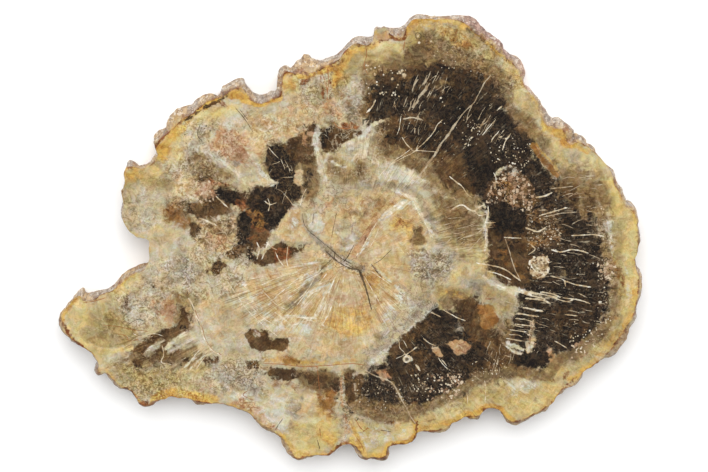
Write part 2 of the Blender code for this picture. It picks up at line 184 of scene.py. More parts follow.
# Patches of paint from the bottom up: the paint, how much of it covers, how soft its edge is and
# how far the edge wanders, then the corners of its outline.
PATCHES = """
straw 0.8 4 3: -118,-32 -110,-23 -98,-22 -88,-15 -84,-14 -88,-22 -96,-28 -100,-38 -96,-46 -100,-54 -108,-46
    -116,-38
grey 0.6 1.5 1.5: -110,-23 -104,-22 -98,-22 -101,-26 -104,-29 -108,-26
olive 0.9 3 2: -106,-30 -98,-27 -92,-29 -89,-35 -86,-38 -92,-40 -102,-40 -108,-38
straw 0.8 1.5 1.5: -100,-21 -92,-17 -86,-14 -84,-17 -90,-23 -97,-26
grey 0.4 4 3: -96,-25 -88,-18 -78,-14 -72,-18 -70,-26 -74,-36 -84,-38 -94,-35
umber 0.55 3 3: -92,-24 -80,-20 -76,-30 -84,-37 -92,-33
cream 0.3 3 3: -90,-24 -80,-22 -76,-34 -84,-36 -90,-32
umber 0.55 1.8 2: -83,-14 -79,-16 -75,-20 -76,-23 -80,-21 -83,-18
umber 0.5 2 2.5: -95,-27 -91,-26 -89,-30 -93,-31
olive 1 0.8 0.8: -110,-40.5 -107,-37 -101,-35 -93,-35.5 -87.5,-38 -86,-41 -89,-44 -96,-46 -104,-45
    -108,-43.5
umber 0.5 1.6 1: -108,-40 -103,-38 -96,-37 -91,-39 -90,-42 -95,-44 -103,-44
olive 0.9 3 2.5: -98,-52 -88,-50 -78,-54 -68,-54 -58,-57 -60,-64 -72,-63 -84,-68 -90,-62 -96,-58
umber 0.4 2 2.5: -92,-50 -84,-53 -78,-56 -84,-58 -92,-56
rust 0.35 1.5 1: -88,-64 -82,-65 -80,-69 -84,-70
pink 0.5 2.5 2.5: -66,-59 -58,-58 -53,-62 -52,-69 -57,-67 -63,-65
gold 0.95 1 1: -82,-66.5 -76,-64 -72,-62 -67,-63.5 -60,-65 -54,-67 -54,-70 -60,-69 -68,-67.5 -74,-67
    -80,-69.5
straw 0.5 2 2: -74,-62 -70,-60 -64,-60 -62,-63 -68,-63
straw 0.5 2.5 2.5: -68,-46 -60,-46 -56,-52 -62,-58 -70,-56
umber 0.45 2 2.5: -68,-48 -62,-50 -58,-54 -64,-57 -69,-53
brown 0.75 1 1.5: -60,-50 -57,-49 -56,-51 -57,-54 -60,-53
brown 0.85 0.8 1: -56,-49 -53,-50 -53,-53 -55.5,-53.5
umber 0.8 1.2 1.5: -72,-22 -67,-22 -62,-26 -61,-28 -64,-29 -68,-28 -71,-26
pink 0.85 2.2 2.5: -78,-26 -73,-25 -70,-26 -70,-32 -71,-36 -74,-36 -77,-31
amber 0.4 1.5 2.5: -75,-28 -71,-27 -71,-36 -74,-36
rust 0.5 1.2 2.5: -77,-26 -73,-26 -71,-27 -71,-34 -74,-33 -76,-30
rust 0.4 0.8 1: -79,-21 -76,-20 -75,-23 -77,-24.5
umber 0.9 1.6 2.2: -72,-24 -66,-23 -61,-26 -61,-31 -62,-37 -66,-40 -72,-40 -70,-33
brown 0.8 1.4 3: -70,-27 -66,-26 -62,-26 -61,-29 -64,-31 -63,-34 -66,-36 -66,-39 -69,-38 -71,-40 -70,-35
    -68,-33 -70,-30
olive 0.5 1.2 2.5: -70,-24 -64,-23 -61,-27 -64,-30 -68,-28
dark 0.5 0.6 1.5: -69,-36 -66,-35.5 -66.5,-38.5 -69.5,-38.5
dark 0.4 0.6 1.5: -67.5,-28.5 -64.5,-29 -65,-31.5 -68,-31.5
umber 0.75 2 2.5: -93,-47 -88,-44 -84,-42 -79,-40 -74,-41 -72,-44 -68,-46 -63,-46 -64,-50 -69,-53 -74,-54
    -80,-54 -88,-53
brown 0.6 2.5 3: -90,-46 -86,-42 -80,-42 -74,-41 -70,-44 -68,-47 -66,-51 -72,-52 -80,-54 -87,-54
dark 0.4 1.5 3: -88,-46 -84,-44 -82,-47 -84,-51 -88,-51
dark 0.35 1.5 3: -79,-45 -75,-42 -72,-45 -75,-50 -78,-49
brown 0.5 1.2 2: -73,-50 -68,-48 -66,-51 -70,-53
brown 0.85 0.8 1.5: -82,-41.5 -78,-39 -75,-37 -71,-37.5 -67,-39 -70,-40.5 -76,-42
brown 0.8 0.8 0.8: -88.5,-51 -85.5,-51.5 -86,-54.5 -88,-54
tan 0.6 4 3: -63,-28 -54,-26 -48,-30 -46,-40 -52,-46 -58,-44 -62,-36
cream 0.45 3 2.5: -62,-32 -55,-31 -52,-37 -58,-40
amber 0.3 2.5 2: -60,-40 -53,-41 -50,-46 -56,-46
straw 0.7 2.5 1.5: -80,9 -74,9 -72,4 -75,0 -80,2
grey 0.35 3 3: -91,18 -84,22 -77,20 -75,12 -78,3 -86,1 -90,6
cream 0.45 4 3: -76,0 -64,2 -58,-4 -60,-16 -70,-20 -79,-14
grey 0.5 2 2.5: -72,-8 -64,-8 -60,-16 -66,-20 -72,-16
olive 0.9 1.8 1.5: -91,28 -84,29 -79,27 -77,24 -73,27 -70,25 -69,22 -75,20 -84,22 -89,19 -92,20
umber 0.5 2 2: -80,26 -74,28 -68,28 -66,22 -72,20 -80,21
gold 0.6 1.5 1: -91,28 -86,29 -83,25 -88,22 -92,22
straw 0.8 1 1: -80,29.5 -76.5,29.5 -75.5,26 -79,25
gold 0.95 1.3 1: -78,37 -77,32 -74.5,30.5 -71.5,34 -70.5,38 -66,43 -69,45.5 -75,40
straw 0.7 2 1.5: -72,37 -71,31 -67,29 -66,37 -67,42
cream 0.4 3 2.5: -69,45 -60,47 -52,46 -48,44 -55,40 -58,33 -67,31 -70,37
grey 0.45 2 2: -63,47 -56,48 -55,43 -60,38 -64,42
straw 0.9 1.5 1.2: -68,46 -60,52 -53,54 -46,55 -43,52 -50,50 -58,48 -64,46
pink 1 2.2 1.8: -54,40 -52,44 -46,44 -39,42 -34,38 -37,33 -45,30 -50,33 -55,36
tan 0.8 3 2.5: -43,50 -36,51 -28,51 -20,54 -13,55 -12,46 -18,44 -23,38 -32,40 -38,34 -41,33 -41,44
umber 0.3 2 2.5: -41,50 -36,50 -33,44 -38,40 -40,44
umber 0.3 2 3: -28,47 -20,48 -16,46 -20,41 -28,42
pink 0.5 2 2.5: -28,53 -18,57 -12,55 -12,49 -20,47 -27,49
cream 0.6 2 1.5: -35,51 -30,51 -29,44 -33,43
grey 0.55 1.5 2: -54,33 -47,31 -42,29 -38,26 -41,20 -47,24 -52,27 -56,30
umber 0.65 2.5 3: -64,37 -58,35 -53,30 -50,22 -46,20 -42,16 -45,8 -56,9 -66,4 -74,5 -75,13 -70,19 -69,27
tan 0.6 1.5 2.5: -70,26 -64,26 -61,20 -62,16 -70,16 -72,20
amber 0.8 2.5 2: -75,13 -70,15 -66,12 -64,7 -66,4 -71,4 -75,7
rust 0.45 2 1.5: -70,9 -65,9 -65,5 -69,4
brown 0.85 1.2 1.5: -61,26 -57,26 -54,22 -57,21 -62,23
umber 0.8 1 1.5: -54,29 -49,28 -47,25 -51,24 -54,26
rust 0.55 0.8 1.5: -57,24 -50,22.5 -45,20.5 -50,19.5 -57,21
pink 0.75 1.2 1.8: -61,22 -55,22 -53,17 -57,16 -62,17
brown 1 1 1.8: -66,15 -60,14 -54,16 -49,12 -52,9 -58,8 -63,9 -65,11
dark 0.45 1.2 1.8: -62,14 -56,14 -53,11 -60,10
dark 0.92 0.9 1.5: -55,20 -49,20 -43,18 -41,14 -46,13 -50,14 -54,17
tan 0.75 1.5 2: -62,8 -57,6 -50,9 -46,7 -45,1 -48,-4 -54,-7 -61,-6 -62,0
pink 0.6 1.5 2: -60,4 -52,5 -47,1 -50,-5 -58,-6
umber 0.5 1.5 2: -60,7 -52,6 -47,8 -46,3 -54,1 -60,2
amber 0.35 2.5 2: -62,6 -46,7 -46,-3 -54,-6 -62,-5
amber 0.35 1.5 2: -63,-1 -58,0 -56,-5 -62,-5
brown 0.85 0.8 1.5: -66,6 -62.5,7 -60,4.5 -61,1 -64.5,0
olive 0.6 1.5 2: -60,-14 -56,-8 -49,-8 -50,-13 -52,-18 -57,-18
brown 0.9 0.7 2.6: -58,-14 -56,-10 -52,-9 -50,-11 -53,-14 -52,-16 -56,-17
dark 0.4 0.6 1.5: -57,-11 -54,-10.5 -54,-13 -56.5,-13.5
brown 0.85 0.7 2.4: -51,-8 -48,-4 -45,-2 -42,-4 -44,-7 -49,-10
amber 0.4 1.5 2: -55,-17 -48,-16 -44,-19 -50,-21 -56,-20
dark 0.95 1 2: -32,38 -29,38 -25,37 -22,34 -20,28 -22,22 -19,19 -20,16 -23,14 -26,9 -29,6 -31,2 -33,0 -36,-3
    -40,-5 -44,-4 -46,-1 -46,7 -44,11 -42,12 -40,17 -38,21 -33,22 -31,23 -34,26 -35,31 -34,35
brown 0.35 2 3: -40,20 -30,21 -22,18 -26,9 -34,12 -42,13
umber 0.55 1 1.5: -36,30 -33,32 -32,27 -34,24 -38,26
brown 0.7 1 2.6: -27,38 -22,42 -18,46 -14,48 -12,44 -15,38 -20,34 -22,30 -25,34
dark 0.5 1 1.5: -25,37 -20,42 -17,44 -15,41 -19,36
umber 0.95 1.2 1.5: -20,33 -15,34 -12,29 -12,21 -15,13 -19,15 -20,20 -21,26
pink 0.3 1.4 2.6: -21,44 -17,46 -14,44 -14,38 -18,34 -21,38
umber 0.5 2.2 2.8: -6,23 0,20 8,22 9,30 4,32 -2,30 -8,28
dark 0.5 1.2 2: -20,32 -16,32 -14,27 -15,20 -18,17 -20,22
brown 0.7 1 1.8: -22,37 -16,38 -14,33 -16,30 -20,30 -22,32
rust 0.55 1 1.2: -47,15 -42,15 -41,11 -44,11.5
amber 0.45 1.2 1.5: -41,12 -37,12 -36,8 -40,8
amber 0.6 1.5 1.5: -41,9 -36,9 -33,5 -38,4
rust 0.5 1.5 1.5: -40,4 -35,4 -32,1 -34,-2 -38,-4 -41,0
brown 0.5 1.5 2: -41,5 -33,5 -31,-3 -38,-4 -41,0
brown 1 0.8 1: -32,-4 -28.5,-1.5 -25,-3.5 -22.5,-4 -23,-11 -27,-12.5 -32,-10.5 -37,-12 -38.5,-8 -34,-6
rust 0.6 0.8 1.5: -32,-4 -24,-4 -23.5,-11 -30,-11
brown 0.8 1.2 1: -24,-3 -17,-2.5 -13,-3.5 -17,-6 -23.5,-7
dark 0.8 0.8 1: -42,-4 -39.5,-5 -37,-9 -38.5,-11.5 -41,-9
tan 0.95 0.5 0.9: -23.5,22.5 -22,27 -19.5,28.5 -19,26.5 -20,25 -19.5,22.5 -21.5,21
straw 0.45 1 1.2: -38,31 -35,30 -34,26 -31,23 -34,22 -38,25
rust 0.65 1 1: -28,66.5 -22,66.5 -16,66 -16,63 -20,61.5 -21,65 -27,65
olive 0.6 1.3 1.2: -18,56 -15,60 -12,63 -10,57 -14,52
rust 0.7 1 1: -12,68 -8,70.5 -3,73 -1,76.5 -3,76 -6,70.5 -10,67
rust 0.4 1 1.5: -12,64 -9,64 -8,56 -10,54
olive 0.95 1.3 1.2: -8,66 -4,70 -2,75 3,78 6,76 4,72 1,67 -2,60 -6,56 -8,58
gold 0.95 1.2 1: -6.5,68 -3,71 -1.5,76 1,76 -1,70 -4,64 -7,59
grey 0.65 1.5 1.5: -3,60 0,62 4,68 5,62 4,56 1,52 -4,55
pink 0.7 1.5 2: -10,56 -4,57 -3,52 -4,47 -8,48 -11,52
rust 0.45 1.2 2: -10,53 -6,54 -5,49 -8,47
amber 0.6 1 1.2: -5,58 -3,60 1,54 4,53 4.5,48 2,50 -3,53
grey 0.8 0.8 0.8: -2,53 2,53 3.5,49 2,46.5 -2,46.5 -3,50
rust 0.75 0.7 1: -6,46.5 -2,47 2,46.5 4,45.5 2,44 -3,43.5
brown 0.85 1 1: -6,43.5 0,43.5 3,42 -2,39 -5,40
umber 0.7 1.2 1.5: -12,48 -8,49 -5,44 -6,41 -9,45
dark 0.85 0.8 1.2: -12,38 -11,43 -8,46 -6,43 -5.5,37 -8,34.5 -12,35
brown 0.5 1 1.2: -5,40 -3,38 -5,34 -8,34
brown 0.85 1 1.2: -9,43 -6,44.5 0,44 4,43 3,41 -1,39 -4,36.5 -8,34 -11,35
dark 0.5 0.8 1.2: -6,43 1,43 0,40.5 -5,38
grey 0.8 1.2 1.8: -4,34 -2,37 1,40 4,42 6,46 9,48 13,49 12,46 9,41 8,36 10,32 6,30 3,33 0,34
cream 0.5 0.8 1.8: -2,36 1,39 4,42 7,45 9,46 8,41 7,36 8,32 5,32 2,35
olive 0.55 2.5 3: -11,34 -4,35 4,32 10,28 6,20 -4,20 -10,24
umber 0.7 2 3: -12,34 -9,33 -2,31 3,27 4,23 -4,22 -9,25
umber 0.9 1.2 1.5: 1,31 4,31 6,30 6,25 4,24 2,25
brown 0.6 1 1.2: 2,29 4.5,29 5,25.5 2.5,25.5
olive 1 2.2 1.5: 5,77 12,78 20,76 23,84 28,86 36,84 46,76 44,70 36,68 26,68 18,65 10,68 6,72
umber 0.5 2.5 1.2: 7,74 14,75 20,74 19,67 11,66 6,70
umber 0.7 3.5 2.5: 18,68 24,74 30,81 38,79 44,75 50,71 56,64 48,62 34,64
olive 0.8 1.5 1: 7,72 9,76 14,78 19,76 20,72 14,70
straw 0.85 1 1: 6,77 10,80 15,80 19,78.5 20.5,74 17,76 8,75
rust 0.4 0.8 0.8: 9,79.5 15,80 14,82 10,82
brown 0.65 3 3: 22,70 24,76 32,78 42,76 50,73 56,68 46,66 30,66
umber 0.7 3 2.5: 25,82 33,84 38,80 46,76 50,71 46,67 36,68 28,70 25,76
gold 0.5 1.5 1.2: 22,84 26,88 34,88 32,84 26,83 23,79
olive 0.8 2 1.5: 34,86 44,87 52,80 58,75 55,71 49,75 42,80 36,82
gold 0.5 2 1.8: 35,85 42,84 49,78 47,75 41,79 36,81
amber 0.65 1.8 2.2: 36,83 41,84 45,81 49,77 47,73 42,77 37,79
olive 0.65 2.5 2: 54,77 60,74 66,69 70,62 74,56 76,50 72,46 67,48 64,51 62,56 64,62 58,68 54,72
straw 0.55 2 2: 58,74 66,67 70,60 67,52 64,58 62,66
umber 0.4 3 2.5: 48,72 56,72 60,66 60,60 54,64
brown 0.5 2.5 2: 60,50 64,51 69,47 73,43 74,38 68,40 62,43
umber 0.8 2.5 2: 59,50 65,50 72,46 77,42 75,37 68,39 61,43
olive 0.8 2 2: 74,44 80,40 84,36 85,29 80,30 76,35 71,41
gold 0.6 1.2 1: 75,48.5 78,45.5 84,43.5 84.5,38 80,38 76,42
straw 0.8 2 1.8: 81,40 86,39 94,37 100,31 104,23 100,21 96,25 90,28 84,28 81,34
grey 0.55 1.8 1.5: 84,36 90,36 92,31 87,29 83,32
umber 0.55 1.8 2.2: 87,31 95,32 100,25 98,20 92,23
olive 0.95 2 1.5: 98,30 104,23 109,14 112,10 114,0 114,-10 115,-20 114,-30 110,-37 104,-46 97,-52 93,-50
    98,-43 102,-36 105,-28 104,-18 102,-8 100,2 100,10 98,18
umber 0.6 1.5 1.5: 98,24 103,18 106,9 104,8 101,13 97,20
straw 0.85 1.5 1.2: 107,16 111,11 114,2 114,-8 116,-18 115,-28 111,-35 108,-30 109,-18 108,-6 108,4 105,12
cream 0.75 1 1.2: 100,4 102,11 104.5,9 105,-4 103.5,-9 101.5,-4
amber 0.7 1.3 1.3: 104,-8 107,-9 109,-18 108,-25 106,-20 104,-14
rust 0.5 0.8 0.8: 108,-10 110,-17 111,-24 109,-23 108,-17
cream 0.6 0.8 0.8: 110,-12 112,-16 113,-24 112,-30 110.5,-24
amber 0.5 1.5 1.8: 105,-24 109,-27 108,-34 104,-40 101,-42 104,-34
straw 0.8 2.5 1.5: 88,-60 82,-70 72,-76 58,-71 47,-75 34,-81 27,-81 26,-75 40,-69 46,-65 58,-58 72,-57
    86,-52 96,-52
olive 0.55 2.5 1.5: 88,-60 82,-70 72,-76 64,-77 58,-71 53,-72 47,-75 40,-78 34,-81 27,-81 26,-75 33,-72
    40,-69 46,-65 52,-60 58,-57 64,-57 72,-57 80,-57 86,-52 92,-50 96,-52
straw 0.6 2 1.5: 84,-62 79,-71 70,-76 64,-76 60,-70 66,-68 74,-68 80,-62
straw 0.7 1.5 1.2: 28,-77 34,-77 42,-73 48,-71 54,-69 54,-72 46,-75 36,-80 28,-80
umber 0.5 2.5 2: 38,-70 46,-65 54,-60 62,-58 62,-61 54,-64 46,-68 40,-72
umber 0.5 1.2 1: 28,-76 33,-74.5 36,-76 33,-78 29,-78.5
cream 0.65 1.8 2.5: 61,-57 66,-60 72,-57 77,-61 72,-66 66,-67 62,-62
umber 0.5 1.5 1.5: 70,-56 76,-56 80,-60 74,-61
amber 0.45 1.5 2: 80,-55 86,-55 92,-50 90,-47 84,-50
umber 0.5 0.8 0.8: 73,-67 76,-66.5 76,-69 73.5,-69
rust 0.6 0.8 1: 85.5,-56 89,-55.5 89,-59 86,-60
amber 0.7 0.8 1.2: 79.5,-56.5 82.5,-57 82.5,-61 80,-60
rust 0.4 0.8 1: 88,-49.5 91,-50 90,-54 88.5,-54
straw 0.5 3 2.5: -50,-62 -30,-64 -17,-66 -16,-76 -26,-80 -36,-76
cream 0.65 2.5 2.5: -54,-58 -46,-62 -38,-62 -30,-64 -22,-66 -17,-69 -17,-75 -24,-79 -28,-83 -34,-79 -41,-73
    -50,-69 -54,-63
grey 0.4 2 2.5: -26,-66 -18,-66 -17,-74 -22,-78 -27,-74
pink 0.8 1.5 1.5: -46,-68 -40,-70 -34,-76 -30,-81 -35,-80 -42,-73 -48,-70
grey 0.75 2 2.5: -55,-53 -46,-54 -37,-56 -34,-60 -38,-64 -46,-64 -53,-61
tan 0.7 2 2: -20,-65 -14,-65 -11,-73 -16,-77 -22,-74
straw 1 2 1.5: -28,-83 -22,-79 -14,-76 -6,-75 -5,-82 -7,-86 -13,-90 -20,-92 -26,-89
olive 0.5 2 1.8: -24,-82 -18,-78 -14,-80 -16,-84 -22,-86
gold 0.7 1 1.2: -14,-83 -8,-81.5 -4,-84 -6,-87.5 -11,-86.5
amber 0.75 1.3 2: -14,-64 -5,-61 -5,-68 -8,-76 -14,-74
gold 0.5 1.5 1.5: -16,-70 -9,-73 -7,-78 -14,-79
straw 0.7 1.2 1: 0,-75 8,-78 16,-78.5 24,-76.5 26.5,-80 25,-85.5 15,-87 13.5,-92.5 5,-92.5 2,-88 -1,-84
cream 0.65 1.5 2: 2,-80 12,-80 22,-80 22,-84 12,-86 6,-91 2,-88
olive 0.3 1.5 1.5: 4,-79 14,-80 22,-79 20,-83 10,-84 5,-86
amber 0.75 1 1: 8,-75.5 16,-75.5 23,-75.5 25,-77.5 17,-78.5 11,-77.5
grey 0.7 0.8 0.8: -4.5,-69 -2.5,-71 -1,-77 0.5,-86 -4,-88 -3.5,-78
pink 0.5 0.8 0.8: -4.5,-69 -2.5,-71 -1,-77 0.5,-86 -4,-88 -3.5,-78
brown 0.85 0.8 2.2: -35,-56 -32,-54 -27,-54 -22,-55 -20,-57 -22,-60 -28,-60 -33,-60
dark 0.35 1 1: -34,-55 -28,-55 -27,-58.5 -33,-58.5
umber 0.95 1 1.3: -22,-55 -14,-55.5 -6,-56.5 -4,-60 -6,-63 -12,-64.5 -18,-62.5 -22,-60.5
brown 0.4 1 1.3: -22,-55 -10,-56 -6,-58 -8,-62 -20,-60
brown 0.7 0.6 1: -17,-60.5 -11,-62 -6,-60.5 -6.5,-63.5 -13,-64
amber 0.6 1 1: -33,-60 -28,-60.5 -20,-61 -18,-64 -28,-62.5 -31,-63.5
brown 0.85 0.8 1.4: -42.5,-52 -40,-51 -37.5,-52 -38,-54.5 -41,-54.5
tan 0.95 2.2 2: -3,14 5,20 14,20 22,17 28,10 31,2 31,-6 26,-10 24,-18 22,-24 15,-34 8,-44 0,-50 -12,-51
    -24,-50 -31,-49 -32,-38 -42,-34 -52,-31 -60,-29 -59,-23 -48,-19 -38,-14 -30,-13 -22,-9 -14,-4 -12,4
    -12,13
pink 0.35 2 2: -44,-13 -32,-13 -20,-9 -22,-14 -34,-20 -42,-20
amber 0.3 1.5 1.5: -36,-15 -30,-15 -29,-20 -35,-21
matrix 0.6 3 2.5: -60,-22 -48,-18 -38,-26 -34,-38 -44,-34 -56,-30
cream 0.4 3 2.5: -50,-18 -42,-17 -36,-24 -32,-36 -40,-34 -48,-28
cream 0.65 1.5 1.5: -42,-33 -30,-36 -20,-34 -13,-38 -20,-41 -34,-39
matrix 0.5 2.5 2: -30,-41 -16,-40 -10,-48 -20,-51 -30,-49
gold 0.55 2 1.8: -10,-31 -4,-28 4,-28 10,-31 9,-38 4,-42 -8,-41 -12,-37
amber 0.35 1.5 1.2: -8,-32 -4,-32 -4,-36 -8,-36
amber 0.35 1.2 1: 3,-32 6.5,-32 6.5,-36 3.5,-36
pink 0.5 2 2: -10,-22 0,-20 5,-24 4,-29 -4,-28 -9,-30
brown 0.9 0.7 1.4: -44,-41 -41,-38 -37,-37.5 -34,-39 -34.5,-41.5 -33,-42.5 -28,-41.5 -24.5,-41.5 -24,-43
    -26,-46 -28,-48.5 -32,-46.5 -37,-47.5 -40.5,-46 -43,-43.5
grey 0.5 0.8 0.8: -40,-39 -37,-39 -37,-41.5 -40,-41.5
brown 0.5 0.8 1.8: -29,-49 -24,-50 -20,-50 -22,-52 -28,-52
gold 0.75 1.2 1.2: -36,-50 -28,-50 -20,-51 -10,-51 0,-51 4,-52 0,-53 -10,-53 -24,-53 -36,-52
amber 0.5 1 1.5: -30,-50 -21,-50 -14,-52 -16,-53 -28,-53
gold 0.6 2 2: 2,-14 9,-14 12,-17 12,-23 7,-25 4,-20
rust 0.4 1 1: 5,-18 9,-18 11,-22 7,-22.5
rust 0.45 0.9 1: 10,-24 13,-23.5 13.5,-27 10.5,-28
olive 0.45 2 1.5: 11,-6 18,-4 24,-6 24,-15 18,-16 12,-11
gold 0.55 1.5 1.5: 14,8 19,10 25,9 26,3 24,-4 21,-3 20,1 15,2
rust 0.45 1.5 1.5: 15,7 19,10 24,8 24,4 20,2 16,3
amber 0.45 2 2: 0,6 8,10 16,15 14,18 4,16 -3,11
umber 0.3 2 2: -6,8 0,10 2,4 -2,3 -7,5
grey 0.7 2 1.5: -7,5 -1,6 3,2 3,-3 -2,-6 -6,-4
cream 1 1.2 1.2: -6,2 -1,3 2,0 1,-4 -3,-5 -6,-3 -1,1 1,-2 -2,-4 -5,-3
tan 0.95 0.7 0.8: -30,2 -28,6 -25,11 -20.5,12 -19.5,5 -15,0 -17,-2 -24,-2 -29,-0.5
cream 0.35 1 1: -30,2 -28,6 -25,11 -20.5,12 -19.5,5 -15,0 -17,-2 -24,-2 -29,-0.5
cream 0.9 0.8 0.8: -18.5,10 -13,9.5 -10.5,6 -12,1.5 -15.5,2 -18,6
pink 0.5 1.5 1.5: -23,13 -16,14 -8,18 -4,16 -8,11 -15,11
umber 0.5 2 2.5: -4,10 4,13 12,18 16,17 12,12 4,8 -2,6
amber 0.4 1.5 2: 2,8 8,11 14,15 18,15 12,10 6,6
umber 0.35 2 2: -12,22 -4,22 0,17 -6,16 -12,18
grey 0.85 1.2 1: 0,21.5 10,23.5 20,23 27,19.5 32,11 35.5,1 32,0 29,8 24,15.5 18,19 10,20.5 2,20
cream 0.6 2 2.5: 10,25 16,29 24,27 31,22 28,20 20,23 11,24
umber 1 0.8 1: 22,-1.5 24.5,0 24,4.5 28.5,5 28,1 31,-1.5 28,-4 25,-3
brown 0.4 0.8 1.5: 23,-1.5 25,0 25,4 28,4 28,0 30,-1.5 27,-3
grey 0.85 1.5 1.5: 24,-6 32,-5 38,0 43,-4 42,-13 37,-18 31,-18 25,-15
grey 0.6 1.8 1.5: 18,-20 24,-20 30,-22 33,-20 32,-27 26,-34 18,-42 12,-50 6,-52 8,-46 14,-38 20,-30 22,-25
cream 0.5 1 1: 15,-24 20,-22 24,-24 20,-29 14,-36 8,-43 6,-42 12,-33
umber 0.4 1 1: 13,-41 19,-36 25,-30 31,-25.5 32,-27.5 26,-33.5 20,-39.5 14,-44
cream 0.75 0.9 1: 12,-47 20,-40 28,-33 34,-27 35,-29 29,-35 21,-42.5 13,-50 7,-54 6,-52
olive 0.75 2 2: 31,20 36,18 42,17 47,12 53,10 54,2 54,-6 50,-11 44,-9 38,-4 34,3 32,11
umber 0.85 2 2.5: 32,19 38,18 44,15 50,11 53,4 52,-4 44,-3 38,2 35,8
brown 0.45 1.5 2.5: 34,18 40,17 48,11 50,4 44,2 38,8
straw 0.7 2 1.8: 44,-13 50,-11 53,-7 56,-9 58,-16 52,-19 44,-20 38,-19 40,-14
grey 0.6 2 2: 44,-16 50,-16 56,-19 60,-22 56,-26 48,-25 42,-21
umber 0.9 1.8 2.2: 13,47 20,48 30,48 36,43 42,36 44,28 41,22 33,22 27,26 20,29 14,31 9,35 9,41
umber 0.9 1.5 2: 30,23 34,28 42,32 45,24 50,17 54,13 48,12 42,17 36,20
olive 0.2 2.5 2.5: 12,44 22,42 30,34 38,26 30,26 20,32 12,36
cream 0.6 1 2.2: 12,27 15,31 20,30 26,27 30,23 24,22 16,24
dark 1 2.8 2.5: 5,47 4,52 5,57 7,60 6,64 8,68 12,67 16,68 22,68 28,70 34,71 40,70 46,69 51,68 56,66 59,62
    61,58 61,54 62,50 64,46 68,43 71,41 74,38 72,36 75,32 79,28 82,24 86,24 90,22 94,20 97,17 98,12 99,6
    100,0 101,-5 102,-10 103,-16 104,-22 104,-30 102,-36 99,-41 94,-45 89,-48 84,-49 82,-53 78,-56 73,-56
    68,-55 64,-57 58,-57 52,-60 46,-64 40,-68 34,-71 27,-74 20,-75 12,-75 4,-73 -1,-70 -4,-65 -4,-58 0,-57
    4,-58 7,-55 11,-54 15,-50 18,-46 22,-41 27,-36 31,-31 34,-28 40,-28 44,-27 48,-25 53,-26 52,-31 54,-36
    58,-38 62,-36 65,-32 67,-26 66,-22 63,-19 58,-16 56,-12 56,-6 54,0 55,6 54,11 52,14 50,17 46,21 43,25
    42,31 40,38 36,43 32,47 26,49 20,48 14,48 9,46
brown 0.6 2.5 2.5: 14,46 24,47 34,45 40,38 42,30 37,27 30,32 22,35 14,40
dark 0.6 2.5 2.5: 12,44 20,47 28,48 36,43 41,36 42,30 36,30 28,36 20,37 12,38
brown 0.75 2 2.5: 32,27 42,34 45,26 50,19 46,17 38,21
dark 0.75 2.5 2: 20,46 28,47 36,43 38,37 28,37 22,40
umber 0.25 2.5 2.5: 30,68 38,69 46,68 56,63 59,57 50,60 42,63 34,65
umber 0.7 1.2 1.2: 31,62 34,65 37,64 36,60 32,60
brown 0.4 3 3: 22,62 30,66 44,66 52,60 50,54 40,56 28,58
brown 0.5 2 2.5: 8,69 18,67 24,66 20,62 10,62
umber 0.7 1.8 2.6: 4,68 9,69 9,60 8,52 4,50 4,58
straw 0.85 1 1: -26.5,65 -22.5,65 -21,62 -21,58.5 -24,58 -26.5,60
gold 0.55 1 1: -26,64.5 -22.5,65 -21.5,61 -23.5,58.5 -26,60
rust 0.6 1 1.6: -20,66 -18,66 -18,62 -20,62
pink 0.8 0.8 1: 9.5,83.5 9.5,80 12,79 15,81 13,84
gold 0.35 0.8 1: 9.5,83.5 9.5,80 12,79 15,81 13,84
brown 0.55 3 2.6: 22,74 30,73 40,72 50,68 57,62 60,66 52,72 42,76 32,78 23,78
dark 0.5 2 2.8: 24,71 36,71 48,66 56,58 50,62 38,67 26,68
brown 0.5 1.2 1.8: 60,66 64,65 63,59 62,54 60,56
brown 0.85 2 1.8: 56,2 62,1 69,2 70,-9 72,-19 66,-20 60,-17 57,-12 56,-4
brown 0.5 2 1.8: 56,2 66,2 70,-6 70,-18 60,-14
dark 0.55 2 2: 58,0 67,0 69,-8 68,-16 61,-12 70,-6 70,-18 60,-14
amber 0.25 2 1.8: 58,-4 66,-4 70,-10 70,-18 64,-18 58,-12
umber 0.65 2.5 2.5: 82,27 92,26 99,20 100,12 92,11 88,15 80,19
brown 0.6 1.5 2: 83,22 92,22 98,18 98,11 92,11 88,15 83,18
umber 0.85 0.7 0.8: 90,20.5 92.5,20.5 94,14 94,7.5 91,8 91,14
brown 0.5 2.5 2.5: 70,14 84,12 86,-4 72,-6
brown 0.45 3 3: 79,-26 98,-28 100,-38 90,-44 79,-40
umber 0.5 1.5 1.5: 84,-12 87,-12 88,-17 84,-17
brown 0.95 0.8 1.2: 53.5,15 54,21 57,25 62,27 68,26.5 72,21 74.5,15 71.5,11.5 66,12 62,14.5 57,14
amber 0.35 1.2 1.5: 54,20 57,24 62,24 64,20 60,17 55,16
pink 0.25 1 1.2: 58,24 64,26 69,24 71,18 68,13 64,13 66,18 63,22
cream 0.95 0.4 0.9: 57,25.5 59,28 62,29.5 65,28.5 66.5,26 64,25 61,26 59,25
dark 1 0.4 0.5: 60.5,27 62.5,28.5 64,28 64,27 62,26.5
amber 0.55 1.4 2.4: -30,-48 -24,-48 -21,-51 -24,-52 -29,-52
brown 0.85 0.8 1.2: -43,-51.5 -40,-51 -38,-53 -40,-55 -43,-54
brown 0.5 1.4 2: -20,-57 -6,-59 -5,-64 -14,-64 -20,-60
umber 0.85 1 1.6: -3,-56 2,-56 3,-60 2,-72 0,-71 -3,-67
brown 0.7 1 1.6: -2,-57 4,-57 4,-68 -1,-69
dark 0.8 2 2.5: 8,63 14,61 21,58 23,51 16,50 10,50 7,54
cream 0.8 1.1 1.5: -36,-68 -31,-70 -27,-76 -26,-81 -29,-81 -33,-75
